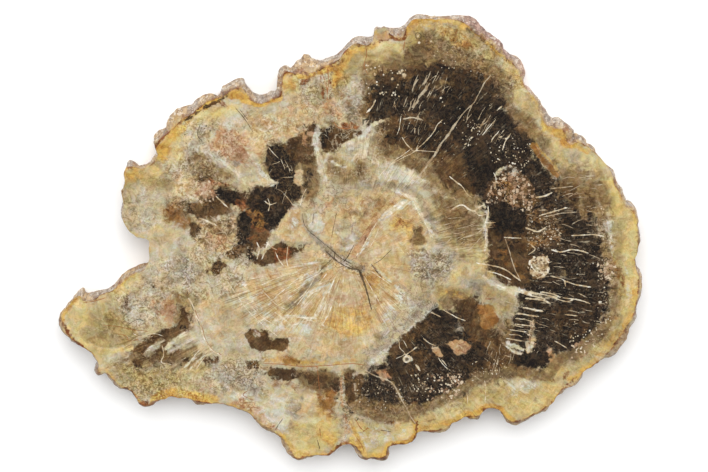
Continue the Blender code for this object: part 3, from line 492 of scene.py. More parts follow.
brown 0.6 1.2 1.5: 70,8 80,8 84,4 82,-3 71,-4
amber 0.3 1.2 1.5: 71,2 80,1 80,-3 72,-4
brown 0.9 0.8 1: 70.5,-10 73,-7.5 78,-7 80,-10 79.5,-15 75,-17.5 71.5,-15
umber 0.5 0.8 1: 71,-12 74,-9 78,-8.5 79.5,-12 78,-16 74,-17
grey 0.5 1 1.2: 72,-11 76,-9 78,-13 74,-15.5
umber 0.2 2 2: 96,14 99,12 101,-6 98,-8 97,4
grey 0.5 2.5 1.5: 46,-18 54,-18 62,-22 66,-25 66,-30 62,-34 59,-36 58,-31 56,-28 52,-26 48,-24
umber 0.4 2.5 1.8: 48,-19 58,-20 64,-25 66,-31 60,-35 56,-28
olive 0.65 2 1.5: 50,-20 58,-21 64,-25 65,-31 60,-33 56,-27
olive 0.95 1.5 1.5: 34,-20 42,-20 47,-22 49,-27 42,-30 36,-28 34,-24
umber 0.6 1.5 1.5: 36,-23 42,-22 47,-25 47,-29 41,-30 36,-28
umber 0.7 1.5 2: 36,-21 46,-21 48,-28 38,-29
gold 0.35 1.2 1.5: 35,-22 44,-21 46,-25 38,-26
brown 0.4 1 1.5: 36,-26 46,-26 46,-29 38,-30
rust 0.45 0.8 0.8: 53,-23.5 56.5,-23 56,-26 53.5,-26
brown 0.35 2.5 2: 45,-28 50,-28 52,-34 56,-41 53,-45 46,-43 46,-36
amber 0.2 2.5 2: 44,-30 50,-29 54,-38 55,-44 48,-45 45,-38
brown 0.65 2 2: 46,-24 52,-26 54,-28 52,-31 54,-37 58,-40 56,-46 48,-44 44,-34 42,-28
amber 0.95 0.9 1.2: 51,-28 57,-28.5 60,-34 57.5,-38.5 52.5,-37
umber 0.8 2.5 2: 57,-37 64,-36 66,-44 64,-54 60,-52 57,-46
brown 0.65 3 2: 57,-38 64,-38 67,-46 66,-56 58,-56 56,-46
grey 0.25 2.5 2: 58,-38 62,-38 63,-48 60,-48
brown 0.4 2.5 2: 58,-44 64,-46 64,-56 58,-56
brown 0.7 1.2 1.5: 15,-47 20,-41 27,-36 32,-33 34,-37 28,-42 22,-46 18,-50
brown 0.55 1.5 2: 24,-46 30,-44 34,-50 30,-54 22,-54
umber 0.55 2 2: 2,-66 12,-67 22,-70 26,-74 14,-75 3,-73
brown 0.9 0.9 1.2: -3,-57.5 1,-57.5 3,-62 2.5,-69 -1,-69.5 -3,-64
brown 0.5 1.5 2: 10,-55 20,-54 30,-53 40,-56 36,-58 24,-57 14,-59
pink 0.55 0.8 1: 9.5,-55.5 14,-55 16.5,-59 12,-60.5
brown 0.5 2 2: 46,-50 58,-50 60,-57 48,-60
rust 0.35 1.2 1.5: 22,-66 26,-68 27,-73 24,-73
pink 0.95 0.5 1.4: 39,-43.5 42,-43 45,-44 48,-46 46,-49 42.5,-50 41,-47.5
tan 0.5 1 1.2: 40,-43.5 45,-44 47,-46 43,-49
pink 0.85 0.5 1.3: 32.5,-46 35,-45 36.5,-49 35.5,-50.5 33,-48.5
tan 0.45 0.6 1: 32.5,-46 35,-45 36,-49.5 33,-48.5
grey 0.3 1 1.2: 41,-35.5 44,-35.5 44.5,-39.5 41.5,-39.5
pink 0.6 0.7 1: 79,-44 81,-46 82.5,-50 81,-53.5 79.5,-50
tan 0.5 0.8 1.5: 71,-34 74.5,-35 75,-41 73.5,-48 70.5,-47 72,-41
"""

# Bands along a path: the paint, its cover, half its width and how soft its edge is. Some follow
# the edge of the face, as stains of iron.
# The brown and dark bands along the upper left edge of the face, between -66,48 and -50,58, are partly the
# dark outer layer of the bark and partly painted shade, where the rind shades the face's edge.
BANDS = """
umber 0.65 1.6 2.5: 3,-71.5 8,-73.5 16,-74 23,-73 30,-71 38,-67.5 46,-62.5 54,-58 62,-56 72,-57 80,-57
    84,-51.5 94,-46.5 101,-39.5
umber 0.5 1 2.5: 101,-40 104,-34 105.5,-22 103,-8 101,2 100,14 96,21 88,25 82,28 76,36
umber 0.5 1.5 3: 77,39 71,46 66,50 62,58 59,66 51,70.5 42,73 32,74 22,72 12,70 6,69
amber 0.75 0.9 0.7: 72,37.5 75,33.5 78,29.8 82,25.5
gold 0.4 0.4 0.4: 73.5,38 77,33.8 80,30 83.5,26
grey 0.8 0.8 0.8: -82.5,-48.5 -80.5,-46.3 -78.5,-44.5
cream 0.6 0.4 0.5: -82.8,-47.3 -80.8,-45.3
cream 0.6 0.5 0.8: -75.5,-46.5 -71,-42.5 -67,-40.5
grey 0.7 1 1: -73.5,-48 -69.5,-44.5 -66,-42
umber 0.8 1 1.1: -72,-50.5 -67,-48 -63.5,-46.5
brown 0.6 0.7 0.9: -73,-48.7 -70,-47.5
cream 0.7 0.35 0.5: -67.5,-54 -63.5,-50 -60,-47
cream 0.6 0.3 0.5: -65.5,-54.8 -62.5,-51.8 -59,-48.5
umber 0.6 0.4 0.5: -66.5,-54.6 -63,-51 -60,-48.2
umber 0.75 0.8 0.7: -57.5,5 -53,6 -49,5
umber 0.75 0.6 0.6: -55.5,2.3 -50,1.9 -47,3
umber 0.65 0.7 0.8: -60.5,-1 -56,-3
umber 0.45 0.35 0.6: -110.3,-39.5 -106.5,-36.3 -101,-34.4 -94,-35.2 -87.5,-37.8
umber 0.55 0.4 0.7: -96,-50 -91,-50.8 -87,-50
straw 0.8 0.8 1: -111,-39 -108.8,-44 -104,-46.6 -97,-47.2 -90,-46
cream 0.8 0.5 0.5: 1.5,41.5 4,37 5.5,33.5 8.5,30.5
cream 0.7 0.35 0.5: 6,38 2.5,34.5 0,31
cream 0.6 0.35 0.4: 5.5,36 9,33.5 11,29.5
cream 0.8 0.6 0.6: -3.5,37.5 0,39.5 4,41.5 7,45 12,47.8
cream 0.6 0.35 0.5: -3,35 1,36.5 6,35
cream 0.5 0.3 0.4: -8,31 -4,29 0,30
grey 0.5 0.5 0.7: 1.2,-57 1.2,-62 1.7,-68
cream 0.7 0.35 0.4: 10.5,7.5 8,1 5.5,-4 2.5,-8.5
pink 0.9 1.1 0.7: 1,-7 4,-2 7,3 9.3,6.3
rust 0.35 0.7 0.6: 3,-4 6,1 8.5,6
cream 1 0.6 0.35: 11.5,7.5 17,10.8 22,14.5
cream 0.9 0.4 0.4: 11,7.5 16,12 21.5,15.5
cream 0.95 0.7 0.5: 25,14.5 28,9.5 30.5,5 32.5,1
cream 0.8 0.6 0.4: 16.5,19.5 20,18.2 23,16.5
cream 0.5 1.5 1: 21,15 25,15
grey 0.95 0.9 0.7: -19.5,9 -18.3,5 -15.8,1 -12.5,-2.5 -10,-4.5
grey 0.95 1.4 0.9: -10.5,-4.5 -5.5,-8 -1,-11 4,-13
umber 0.6 0.7 0.7: -9,-6 -5,-9 0,-12 4,-13
umber 0.55 1.1 1: -12,-13 -16,-18 -21,-24 -26,-29.5
olive 0.7 1.4 1.3: -10,-11 -13,-15 -16.5,-19.5 -21,-25 -27,-31
umber 0.7 1 1: -11,-12 -15,-17.5 -20,-23
grey 0.5 0.7 1: -13,-16 -18,-22 -24,-29
cream 0.75 0.5 0.5: 8,-11.5 12,-15 16,-19 21,-23
rust 0.6 0.6 0.6: 8.5,-11 10.5,-13.5 12.5,-16
cream 1 0.5 0.3: -9,-20 -11.5,-25 -13.5,-29.5 -15,-33.5
cream 0.85 0.35 0.4: -9,-20 -14,-21.5 -18.5,-24.5 -20,-29
cream 1 0.45 0.3: -15,-33.5 -22,-32.5 -30,-34.5
cream 0.55 0.8 0.9: -8,-12 -12,-14 -18,-18 -25,-25
cream 0.5 0.4 0.5: -14,-9 -22,-12 -32,-15
cream 0.45 0.5 0.6: -12,-11 -20,-17 -28,-23 -34,-28
cream 0.5 0.4 0.5: -13,-10 -22,-14 -31,-19 -38,-24
amber 0.35 0.5 0.6: -14,-8 -21,-9.5 -28,-13.5
amber 0.35 0.4 0.5: -12,-10 -20,-13.5 -27,-17.5
cream 0.45 0.8 0.8: -44,-18 -40,-24 -36,-30 -30,-35
cream 0.4 0.5 0.7: -26,-42 -14,-42.5 -2,-42 8,-38
pink 0.75 0.4 0.5: -4.4,-56 -4.2,-62 -3.8,-70
grey 0.5 0.3 0.5: -3.4,-58 -3.2,-64 -3,-70
gold 0.6 0.8 0.8: -0.5,-77 1.5,-82 3.5,-87 5,-91
cream 0.6 0.5 0.8: -56,33.5 -51,31 -46,27 -42,22
cream 0.5 0.4 0.7: -50,31 -46,29 -42,25 -40,22
cream 0.5 0.4 0.6: -40,29 -38,25 -35,23 -31,21.5
cream 0.7 0.8 0.8: -13,45 -14,39 -13,33 -11.5,27
cream 0.6 0.5 0.6: -10,34 -11,28 -9.5,22
rust 0.4 0.4 0.6: -9.5,27 -9,22 -9.5,16
cream 0.6 0.3 0.6: 53,13.5 54.5,9.5 53.3,5 54.2,0 53.5,-5
cream 0.7 0.6 0.8: 53,-16 57,-19 62,-21.2 67,-22
cream 0.5 0.4 0.6: 55,-19 60,-21.5 66,-23.5
cream 0.5 0.5 0.8: 66,-21.8 72,-22.8 76,-23.6
cream 0.3 0.6 1: 76.5,-23.4 80,-24.2 84,-25.4 72,-22.8 77,-24 82,-25.5
cream 0.7 0.5 0.5: 63,-44.5 66,-45.5 69,-47
cream 0.6 0.4 0.4: 63,-46 66,-47.5 68.5,-48.5
cream 0.7 0.8 0.6: 70.5,-44 72.5,-45 71.5,-47
cream 0.9 0.9 0.5: 21.5,-50.5 23.5,-50.5
cream 0.6 0.6 0.8: -37,31 -36,27 -32,23.5 -29,22.5
rust 0.85 0.5 0.5: -78,37 -74.5,41 -68.5,46 -62.5,50.5 -57,53.5 -52,55.8
gold 0.8 1 0.9: -76,36 -73,39.5 -67,44.5
gold 0.5 0.6 0.6: -67,45 -61.5,49.5 -56,53
rust 0.5 1.3 1: -52,56.5 -50,53.6
brown 0.9 0.9 0.8: -66,49.3 -61,52.8 -56,55.5 -52.5,56.8
gold 0.95 1.5 0.9: -47.5,57.5 -44,58 -41.5,56
rust 0.5 0.4 0.5: -49,59.5 -45,60.5 -42,59.5 -40,56.5
gold 0.85 0.9 0.8: -41,55.5 -36,54 -31,56 -28,57.3
rust 0.5 0.4 0.5: -41,56.5 -36,54.8 -31,57 -28,58.5
rust 0.7 0.6 0.7: -28,58 -28,65 -25,67.3 -21,66.6 -17,65.5
rust 0.6 0.4 0.5: -12,68 -11.7,62 -11,57
rust 0.6 0.4 0.5: -8.2,69 -7.8,62 -8,57
rust 0.8 0.5 0.5: 14.8,82 16,80.7 19,79.9 21,81 21.8,84
gold 0.6 0.8 0.8: 22.5,84 24.5,87 30,88 38,87.5 46,85
rust 0.4 0.4 0.5: 30,88.8 40,88.5 47,86
umber 0.9 0.55 0.5: 45,84.4 50,82 54.2,78 59,73.6
brown 0.45 0.5 0.8: 46,84 52,79.5 58,74.5 63,70
amber 0.5 0.5 0.7: 70,59 74,52 76.5,47
rust 0.6 0.5 0.6: 84,43.5 85.5,39 90,39 95,36.5 100,32
gold 0.7 0.9 0.9: 76,46 80,43.5 83.5,41 85,37.5 90,37 94,34.5
rust 0.4 0.4 0.6: 104,24 108,15.5 113,9.5 114,0 113.5,-10
straw 0.8 1.2 1: 103,23 107,15 112,9 113,0 113,-10 114.5,-20
rust 0.45 0.5 0.7: 115,-18 115,-26 112,-34.5 107,-43.5 100,-51.5 94,-56
gold 0.5 1 1: 113.5,-22 112,-31 107,-40 101,-48.5 95,-54 88,-60
rust 0.5 0.5 0.6: 92,-58 87,-62.5 83,-66.5 79,-71.5 72,-75.5 66,-77.5 62,-75
gold 0.8 0.9 0.8: 66,-76 62,-73 58,-70.8 54,-71 51,-73.5 46,-73.5
rust 0.75 0.5 0.5: 62,-74.5 58,-71.8 54,-72 51,-75 46,-75.3 42,-77
brown 0.7 0.4 0.4: 46,-74 44.5,-76 40,-78 38,-79.5
gold 0.75 1 0.8: 45,-74.5 40,-77 33,-80 28,-80
rust 0.6 0.4 0.5: 38,-80.3 32,-81.5 27,-81.3
gold 0.85 0.9 0.7: 25.5,-77.5 26.3,-83 22,-86 15.5,-87.2 13.5,-91
rust 0.8 0.5 0.5: 26.5,-78 26.3,-84 23,-86.6 16,-87.8 14.5,-91.5
gold 0.7 0.9 0.8: 13,-91.5 6,-91.8 3,-88.5 0,-85
rust 0.85 0.5 0.5: 14,-92.5 5,-93 1.5,-89 -1,-86.5 -5,-87.5 -9,-91 -12,-92
gold 0.5 1 1: -12,-91 -19,-91.8 -24,-88.5 -28,-84
rust 0.6 0.4 0.5: -12,-92.2 -18,-92.6 -23,-93 -26,-89.5
umber 0.6 0.5 0.6: -29,-83 -36,-79 -42,-73.5 -50,-70.5 -56,-70
rust 0.6 0.4 0.5: -56,-69.8 -62,-69 -68,-67.8 -76,-67.8
rust 0.6 0.8 0.8: -78,-68.5 -84,-70 -88,-66 -92,-62.8
brown 0.5 0.5 0.6: -88,-65.5 -92,-62.8 -97,-59 -103,-56.5
rust 0.75 0.5 0.6: -104,-50 -107,-47 -111,-43.5 -115,-38.5 -116.5,-34
brown 0.5 0.5 0.6: -105,-49.5 -110,-45.5 -113,-42
gold 0.6 0.8 0.8: -116,-34 -114.5,-30 -110,-25.5
rust 0.5 0.3 0.4: -109,-24.5 -105,-26 -102,-25 -99,-23.5
amber 0.7 0.5 0.6: -99,-22.8 -95,-21 -91,-17.5 -87,-14.5 -84,-13
gold 0.4 0.6 0.8: -82,-11.5 -81.3,-3 -84,0 -90,4 -91.7,12 -90.5,24
amber 0.6 0.5 0.6: -91.5,18 -90.5,27.5 -84,28.8 -79,30 -77.5,35
gold 0.7 0.9 0.9: -20,65.6 -16,65.4 -11,67.8 -5,69.2 -1.5,73 1.5,76 6,76.8 9,77.6
rust 0.5 0.45 0.4: -27,67.3 -21,67.2 -16,66.4 -11,68.9 -5,70.2 -2,74 1,77.2 6,77.8 9,78.6 12,79.6 17,80
    20.5,79
brown 1 1.2 0.6: -66,48.5 -60,53 -54,56.3 -50,58
dark 0.85 0.8 0.6: -64,50.3 -59,54 -54,56.8
grey 0.7 1.1 0.8: -10,-4.5 -7,-7.5 -4,-10.2 0,-12
cream 0.9 0.5 0.4: -8.5,-19.5 -11,-24.5 -13,-29 -15,-33
umber 0.6 0.8 0.6: 16.5,-61 19,-65.5 21.5,-70 25.5,-77.5
"""

# Fine lines and spots: the kind and half the width. Pale ones are cracks filled with crystal.
LINES = """
faint 0.24: 55,66 52.5,63 51,60 49.5,57 48.5,55 46,52.5 44,50.5 42,47.5 40,45 38.5,42 36.5,39.5 34.5,37 33,34
    31,31 29.5,28.5 27,25.5
faint 0.45: 42,47.5 39,43 36,39 33.5,34.5 31,31 29,28 27,25.5
faint 0.35: 20.5,48.3 24,48.9 28,48
pale 0.2: 36,48 34,46 32.5,43 30,40 27,37 24,34.5 20,32.5 16,30 13,27.5 11,25
pale 0.17: 24,36.5 20,33.5 17,31.5 14,28
pale 0.2: 20,41 22,38 24,36
pale 0.15: 19.5,49 19,45 18,42
pale 0.14: 34,35 28,35.5 24,35.5
pale 0.24: 39,25 42,22.5 44,21 46,18 48,16.5
pale 0.34: 40,11.5 44,13.5 47,11.5 49,11 51,12.5 53,13.5
pale 0.2: 54,6 57.5,6.2
faint 0.2: 61.5,-0.5 63,-5 64.5,-10 66,-14 67.5,-17
pale 0.2: 61,0 68,-0.3
pale 0.34: 73.5,16.5 77,17 80,18.5
faint 0.2: 79,20 84,20.5 88,21
pale 0.31: 75,9 80,10.5 86,12.3
faint 0.2: 77,8.5 84,10 90,10.5
pale 0.34: 69.5,4 74,2.5 76,3 78,4.5
pale 0.27: 88,0.8 93,1 97,1.2 101,0.5
pale 0.31: 80,-5 84,-6 88,-5 92,-5.5 95,-6.5
pale 0.2: 72,-3 73.5,-5 71,-7
pale 0.27: 50,-10.5 58,-12 62,-13.5 66,-16.5 68,-18
pale 0.24: 55,-14 60,-15.5 64,-17.5
pale 0.34: 70,-25.2 77,-26 80,-27.5
pale 0.24: 85,-25 92,-26 96,-27.5
pale 0.24: 80,-24.5 86,-26.5 89,-26
pale 0.31: 86,-18 90,-19.5 96,-20.5
pale 0.27: 80,-16 85,-17.5 86,-20
pale 0.31: 86,-32 91,-32.5
pale 0.2: 91,-23 94,-24.5
pale 0.2: 82,-43 87,-46
pale 0.24: 63,42.5 61,39 60,36
pale 0.2: 57,48 54.5,45 52,42
pale 0.17: 60.5,44 59.5,42.5
pale 0.17: 58.5,43.5 56,40.5 55.5,39
pale 0.31: 59.5,53.5 57.5,51.8
faint 0.25: 5,-55 9,-57.5 13,-59 16,-60.5 18,-63 20,-67 22,-71 24,-75 26,-78
faint 0.3: 14,-59 17,-61.5 19,-65 20.5,-68.5
pale 0.24: -30.5,-6 -29,-9.5 -27,-12
pale 0.24: -38,-2 -37,-5 -38,-9
pale 0.27: -33,-1 -34.5,-5 -36,-9
pale 0.2: -25.5,-4 -26,-9 -25.5,-12
pale 0.17: -34,-2 -32,-4 -30,-5
pale 0.15: -27,18 -24.5,15 -23.5,13.5
pale 0.15: -20.5,13 -19.5,17 -18,20
pale 0.12: -28,32 -27,29.5 -26.5,28
pale 0.12: -33,37 -31,34.5 -29,32.5
pale 0.24: -54,17 -51,14 -49,12
pale 0.31: -61,8 -57,6.5 -54,5
pale 0.14: 17,-41 19,-43 19.5,-46 21.5,-48.5 18,-50.5
pale 0.27: 26.5,-45.5 24,-47.5 22,-48.8
pale 0.17: 21,-43 22.5,-46
pale 0.2: 29,-42 31.5,-44 34,-45
pale 0.24: 32,-31 36,-33
pale 0.2: 37,-30 42,-33 46,-34.5
pale 0.17: 35,-50 37,-53 39,-55
pale 0.2: 36.5,-51 38.5,-53.5
pale 0.17: 54,-60 54.5,-65 54.2,-69
pale 0.14: 47,-66 47.2,-70
pale 0.2: -76.5,-45 -76,-49 -77,-52 -73,-53
pale 0.24: -77,-53 -77.5,-55
pale 0.17: -90,-44 -86,-41.5 -80,-40 -76,-41
pale 0.14: -88,-40 -84,-42
pale 0.2: -60,-45 -64,-50 -66,-53
pale 0.2: -57,-47 -61,-52 -63,-55
pale 0.17: -23,-27 -18,-22 -14,-15
pale 0.17: -9,-20 -11,-25 -13,-30
pale 0.14: -36,-22 -30,-28 -26,-30
pale 0.17: -7,-17 -12,-19 -18,-23 -22,-28
pale 0.2: -15,-35 -22,-33 -31,-33.5
pale 0.26: 10,6 6.5,0 4.5,-4 2,-7.5
pale 0.17: 11,4 9,-1 5,-8
pale 0.22: 25,14 27,10 30,5 32.5,0
pale 0.6: 12,8 15,9.8 18.5,12 21.5,14.3
pale 0.45: 13,10 17,12.6 21,14.8
pale 0.3: 22,14.6 25,15.8
pale 0.35: 24,16.2 26,14 27.5,11.8
pale 0.3: 19,19 21.5,17.5 23.5,15.5
pale 0.45: -8.7,-19.5 -10.8,-24 -12.8,-28.5 -14.8,-33
pale 0.32: -9,-20 -13,-21.5 -17.5,-24.5 -20,-29.5
pale 0.3: -14.6,-33.5 -12.5,-36.6 -10,-33 -8,-28.5
pale 0.34: -15,-33.4 -20,-33.2 -26,-33 -31,-34.5
pale 0.48: 69,-29 73,-29.8 77,-30.6
pale 0.34: 66.5,-31.4 71,-32.2 75.5,-32.8
pale 0.18: 66,-33.6 70,-34.1 73,-35
pale 0.14: 64.5,-36.2 69,-37.4
pale 0.2: 64,-38.4 70.5,-39.3
pale 0.15: 63.5,-40.4 67,-40.6 69,-41.3
pale 0.2: 62.5,-42 69,-43.2
pale 0.2: 61.5,-49 65,-50
pale 0.24: 66,-36 74,-37
pale 0.2: -24,-36.6 -19,-35 -14,-33.5 -11,-37
pale 0.26: -31,-31 -27,-34 -23.5,-36.6
pale 0.2: -42,-27 -36,-33 -31,-36.5
pale 0.2: -50,-18 -46,-24 -42,-30 -36,-36 -30,-41
pale 0.16: -20,-13 -28,-16 -36,-19.5
pale 0.16: -16,-13 -24,-19 -32,-26
pale 0.2: -10,-15 -16,-23 -22,-30
pale 0.24: -6,-15 -9,-23 -11,-30
pale 0.16: -3,-15 -4,-23 -5,-29
pale 0.2: 5,-16 9,-23 13,-30
pale 0.16: 8,-14 15,-19 22,-25
pale 0.3: -65.6,-25.2 -63.8,-28.5 -62.8,-32.3 -61,-35.5 -60.6,-38.2 -59.4,-42.4 -56.6,-46.7 -53.2,-49
rust 0.2: -65,-25.8 -62.2,-32.5 -60,-38.5 -58.9,-42.4 -56,-46.9 -52.6,-49
dark 0.13: -65.6,-25.2 -62.8,-32.3 -60.6,-38.2 -59.4,-42.4 -56.6,-46.7
pale 0.55: 9.3,66.1
pale 0.55: 16.1,64.4
pale 0.95: 20.7,65.8
dark 0.4: 20.7,65.8
pale 0.5: 20,67.8
pale 0.4: 12.2,59
pale 0.35: 16,57.9
pale 0.35: 17.3,58.1
pale 0.3: 18.7,57.5
pale 0.4: 7.7,68.6
pale 0.3: 9.3,68.9
pale 0.35: 6,51 8,53 9.5,56
pale 0.35: 31.3,79.4
pale 0.4: 35.3,56.8
pale 0.4: 36.7,53.8
pale 0.3: 36,55.2
dark 0.2: 25,81.6 25.5,82.7 26.6,82.7 27.3,81.7 26.8,80.6 25.6,80.5 25,81.6
pale 0.55: 26.2,81.6
pale 0.5: 26.6,79
pale 0.32: 21,-50.6 22,-49.4 23.5,-49.6 23.8,-51 22.8,-52 21.4,-51.8 21,-50.6
pale 0.4: 26,-53 27,-54.4 27.8,-55.6
pale 0.28: 54.5,13 54.6,9.5 53.4,6 54.2,3 53.6,-1 54.2,-4
pale 0.2: 53.5,9.5 51,9 49.5,10.5
pale 0.18: 53.8,4 50,3.5
pale 0.4: 71.3,-9.8 73.2,-8.6
pale 0.5: 75,-8 77.6,-8.8 78.8,-10.4
pale 0.4: 79.3,-13 78,-15.2 76,-16.4
pale 0.45: 73.8,-15.8 71.8,-13.4
pale 0.22: 73,-11 75,-13 77,-12 76,-10
pale 0.2: 72.6,-12.5 74.5,-14.6 77,-14.2
pale 0.2: -34.6,15 -32.6,13.6 -30,14.3
pale 0.2: -33.3,16 -32.6,13.6 -33.2,11
pale 0.2: 57,20 57.5,24 56.5,26.5
pale 0.3: 58,-19.5 63,-21.4 68,-22.6 73,-23.4
pale 0.3: 66,-22.2 72,-24 78,-25.4
pale 0.25: 68,-21.8 75,-23.2 82,-24.6
pale 0.25: 72,-25.2 78,-26.4
pale 0.3: 76,-22.6 81,-23.4 84,-24.8
rust 0.18: -9.5,70 -9,64 -9.6,58
rust 0.22: -7,47 -5,44.8 0,44.6 3,45.6
rust 0.2: -36,-52.5 -28,-53 -20,-53.8 -10,-53.4 0,-52.6 5,-53.2
rust 0.15: -13,-64 -13.5,-58 -14,-54
rust 0.2: -13,-80 -12.5,-84
rust 0.17: 3.5,-79.5 5,-81 7,-80
rust 0.17: 3,-82 5,-81.5 6.5,-79.8
rust 0.17: 1.5,-76 3,-79 4,-80.5
rust 0.2: 2,-84 4,-87 5,-90
rust 0.17: -42,-64 -44,-66 -40,-68
rust 0.2: -108,-27 -104,-26.5 -99,-25
rust 0.17: -100,-36.5 -94,-37 -88,-38.5 -82,-39
rust 0.2: -95,-40 -91,-41 -90,-43 -86,-42.5
rust 0.17: 5.5,78 6,74 5,70 6.5,66
rust 0.17: -12,68 -10,62 -9.5,56
rust 0.17: 21,80 20.5,76
dark 0.6: 3.2,-13.6 4.6,-17.5 5.8,-21
dark 0.4: 5.8,-21 7,-25.5 8,-30
dark 0.14: -8,-9 -11,-12 -13.5,-15
dark 0.22: -10,-3.2 -7,-6 -4,-8.6 0,-10.8
dark 0.14: -2,-11 1,-12.5 4,-13.5
dark 0.12: -7,-6 -6.5,-9 -4,-11
dark 0.2: 8,-11 10,-14 12,-16.5
dark 0.17: 1,-3 -1,-7 -3,-10
dark 0.14: 16,-5 12,-9 9,-11
dark 0.14: -19.6,10 -19,6 -17.2,3 -14,0 -10.5,-3
dark 0.26: -10.5,-5.4 -7,-8.8 -3.5,-11.4 0,-12.9 3.2,-13.6
dark 0.17: -15,10 -15.5,6
dark 0.14: -6,10 -7,5 -8,0
dark 0.2: -14,-85 -13,-89
dark 0.17: -28,-76 -30,-79 -31,-81
dark 0.2: 12,-81 16,-81.5
dark 0.14: -46,53 -42,48 -39,43
dark 0.14: -44,52 -41,48
dark 0.14: -60,46 -61,42 -59,39
dark 0.17: -90,-36 -86,-34 -83,-35
dark 0.45: -57.5,45.5
dark 0.4: -55,46.3
dark 0.35: -56,43.5
dark 0.3: -58.2,44.5
dark 0.3: -66,42
dark 0.3: -64,40
dark 0.3: -65.5,38.5
dark 0.25: -63.5,41
dark 0.9: 62.3,27.6
dark 0.6: 63.4,27.9
dark 0.7: 22.4,-50.7
dark 0.5: -79.5,-20.5
dark 0.4: -92.5,-28.5
dark 0.4: -91,-27
dark 0.35: 75.5,-8.5
dark 0.3: 71.5,-9.5
dark 0.3: 41,-47
"""

# Fields of short parallel lines: how many, half the width, least and greatest length, direction in
# degrees and its spread.
DASH_FIELDS = """
18 0.13 2 7 -11 9: 64,-27 80,-28 78,-36 70,-50 62,-46 63,-37
14 0.2 2.5 5.5 62 6: 25,66 33,66 34,58 29,56 25,58
10 0.2 2.5 5 66 7: 20,56 29,56 28,49 20,49
8 0.12 1.5 4 58 12: 30,66 40,66 38,58 31,60
13 0.15 3 6 60 7: 40,58 58,48 60,40 48,46
44 0.15 1.5 5 -6 12: 70,14 100,14 102,-20 100,-36 84,-36 72,-8
21 0.1 1.5 4 75 14: 6,60 18,60 20,44 12,34 28,32 30,46
21 0.15 3 8 20 12: 36,10 53,9 54,-7 40,-6
16 0.12 2 5 5 10: 84,26 98,26 99,17 86,16
16 0.15 2 5 -50 15: 61,-58 72,-58 74,-62 64,-66
14 0.12 2 5 80 12: 54,-44 66,-46 66,-58 56,-58
16 0.15 1.5 4 20 35: -61,8 -50,9 -46,6 -47,0 -60,1
10 0.12 2 6 100 40: -34,34 -22,34 -20,18 -38,14
"""

# Fields of specks: how many, and the least and greatest half width.
SPECK_FIELDS = """
72 0.25 0.48: 71,-10 73,-7.8 78,-7.5 79.7,-10 79.3,-15 75,-17.2 71.8,-15
28 0.22 0.45: 5,70 22,69 22,58 6,58
66 0.18 0.34: 54,42 72,40 73,27 66,27 56,30
56 0.14 0.28: 70,9 84,8 84,-4 70,-6
64 0.18 0.4: 24,-56 44,-56 46,-62 38,-70 26,-68
30 0.16 0.3: 2,-58 24,-62 25,-74 2,-72
36 0.2 0.41: 99,18 103,6 104,-20 105,-38 96,-44 99,-30 99,0
36 0.18 0.30: 44,48 52,46 50,36 44,38
42 0.16 0.30: 48,-52 62,-50 64,-58 48,-60
30 0.18 0.38: 88,-40 100,-36 98,-44 90,-48
24 0.16 0.30: 30,80 44,78 52,68 40,66 30,72
36 0.14 0.22: 10,56 60,56 56,36 30,30 12,36
36 0.14 0.22: 72,26 100,14 100,-34 74,-40
"""

# Inclusions of small crystals packed like a mosaic: cover, softness and wandering of the edge.
MOSAICS = """
0.35 1.5 1.5: 53.5,15 54,21 57,25 62,27 68,26.5 72,21 74.5,15 71.5,11.5 66,12 62,14.5 57,14
0.6 1.2 1.5: 58,23 62,26 69,25.5 73,18 72,12 65,12.5 68,17 64,21
0.35 0.8 1.2: 70.5,-10 73,-7.5 78,-7 80,-10 79.5,-15 75,-17.5 71.5,-15
0.8 1 1.2: 99.5,-11 103,-9.5 105.5,-12 104.5,-18 101,-18
0.4 1.2 2: 71,-34 74.5,-36 74,-48 70.5,-47
0.5 1.5 2: 88,-44 96,-44 96,-50 89,-50
0.4 2 2: 30,-58 44,-56 44,-66 32,-68
0.4 1.5 2: -62,22 -54,22 -54,15 -61,15
"""

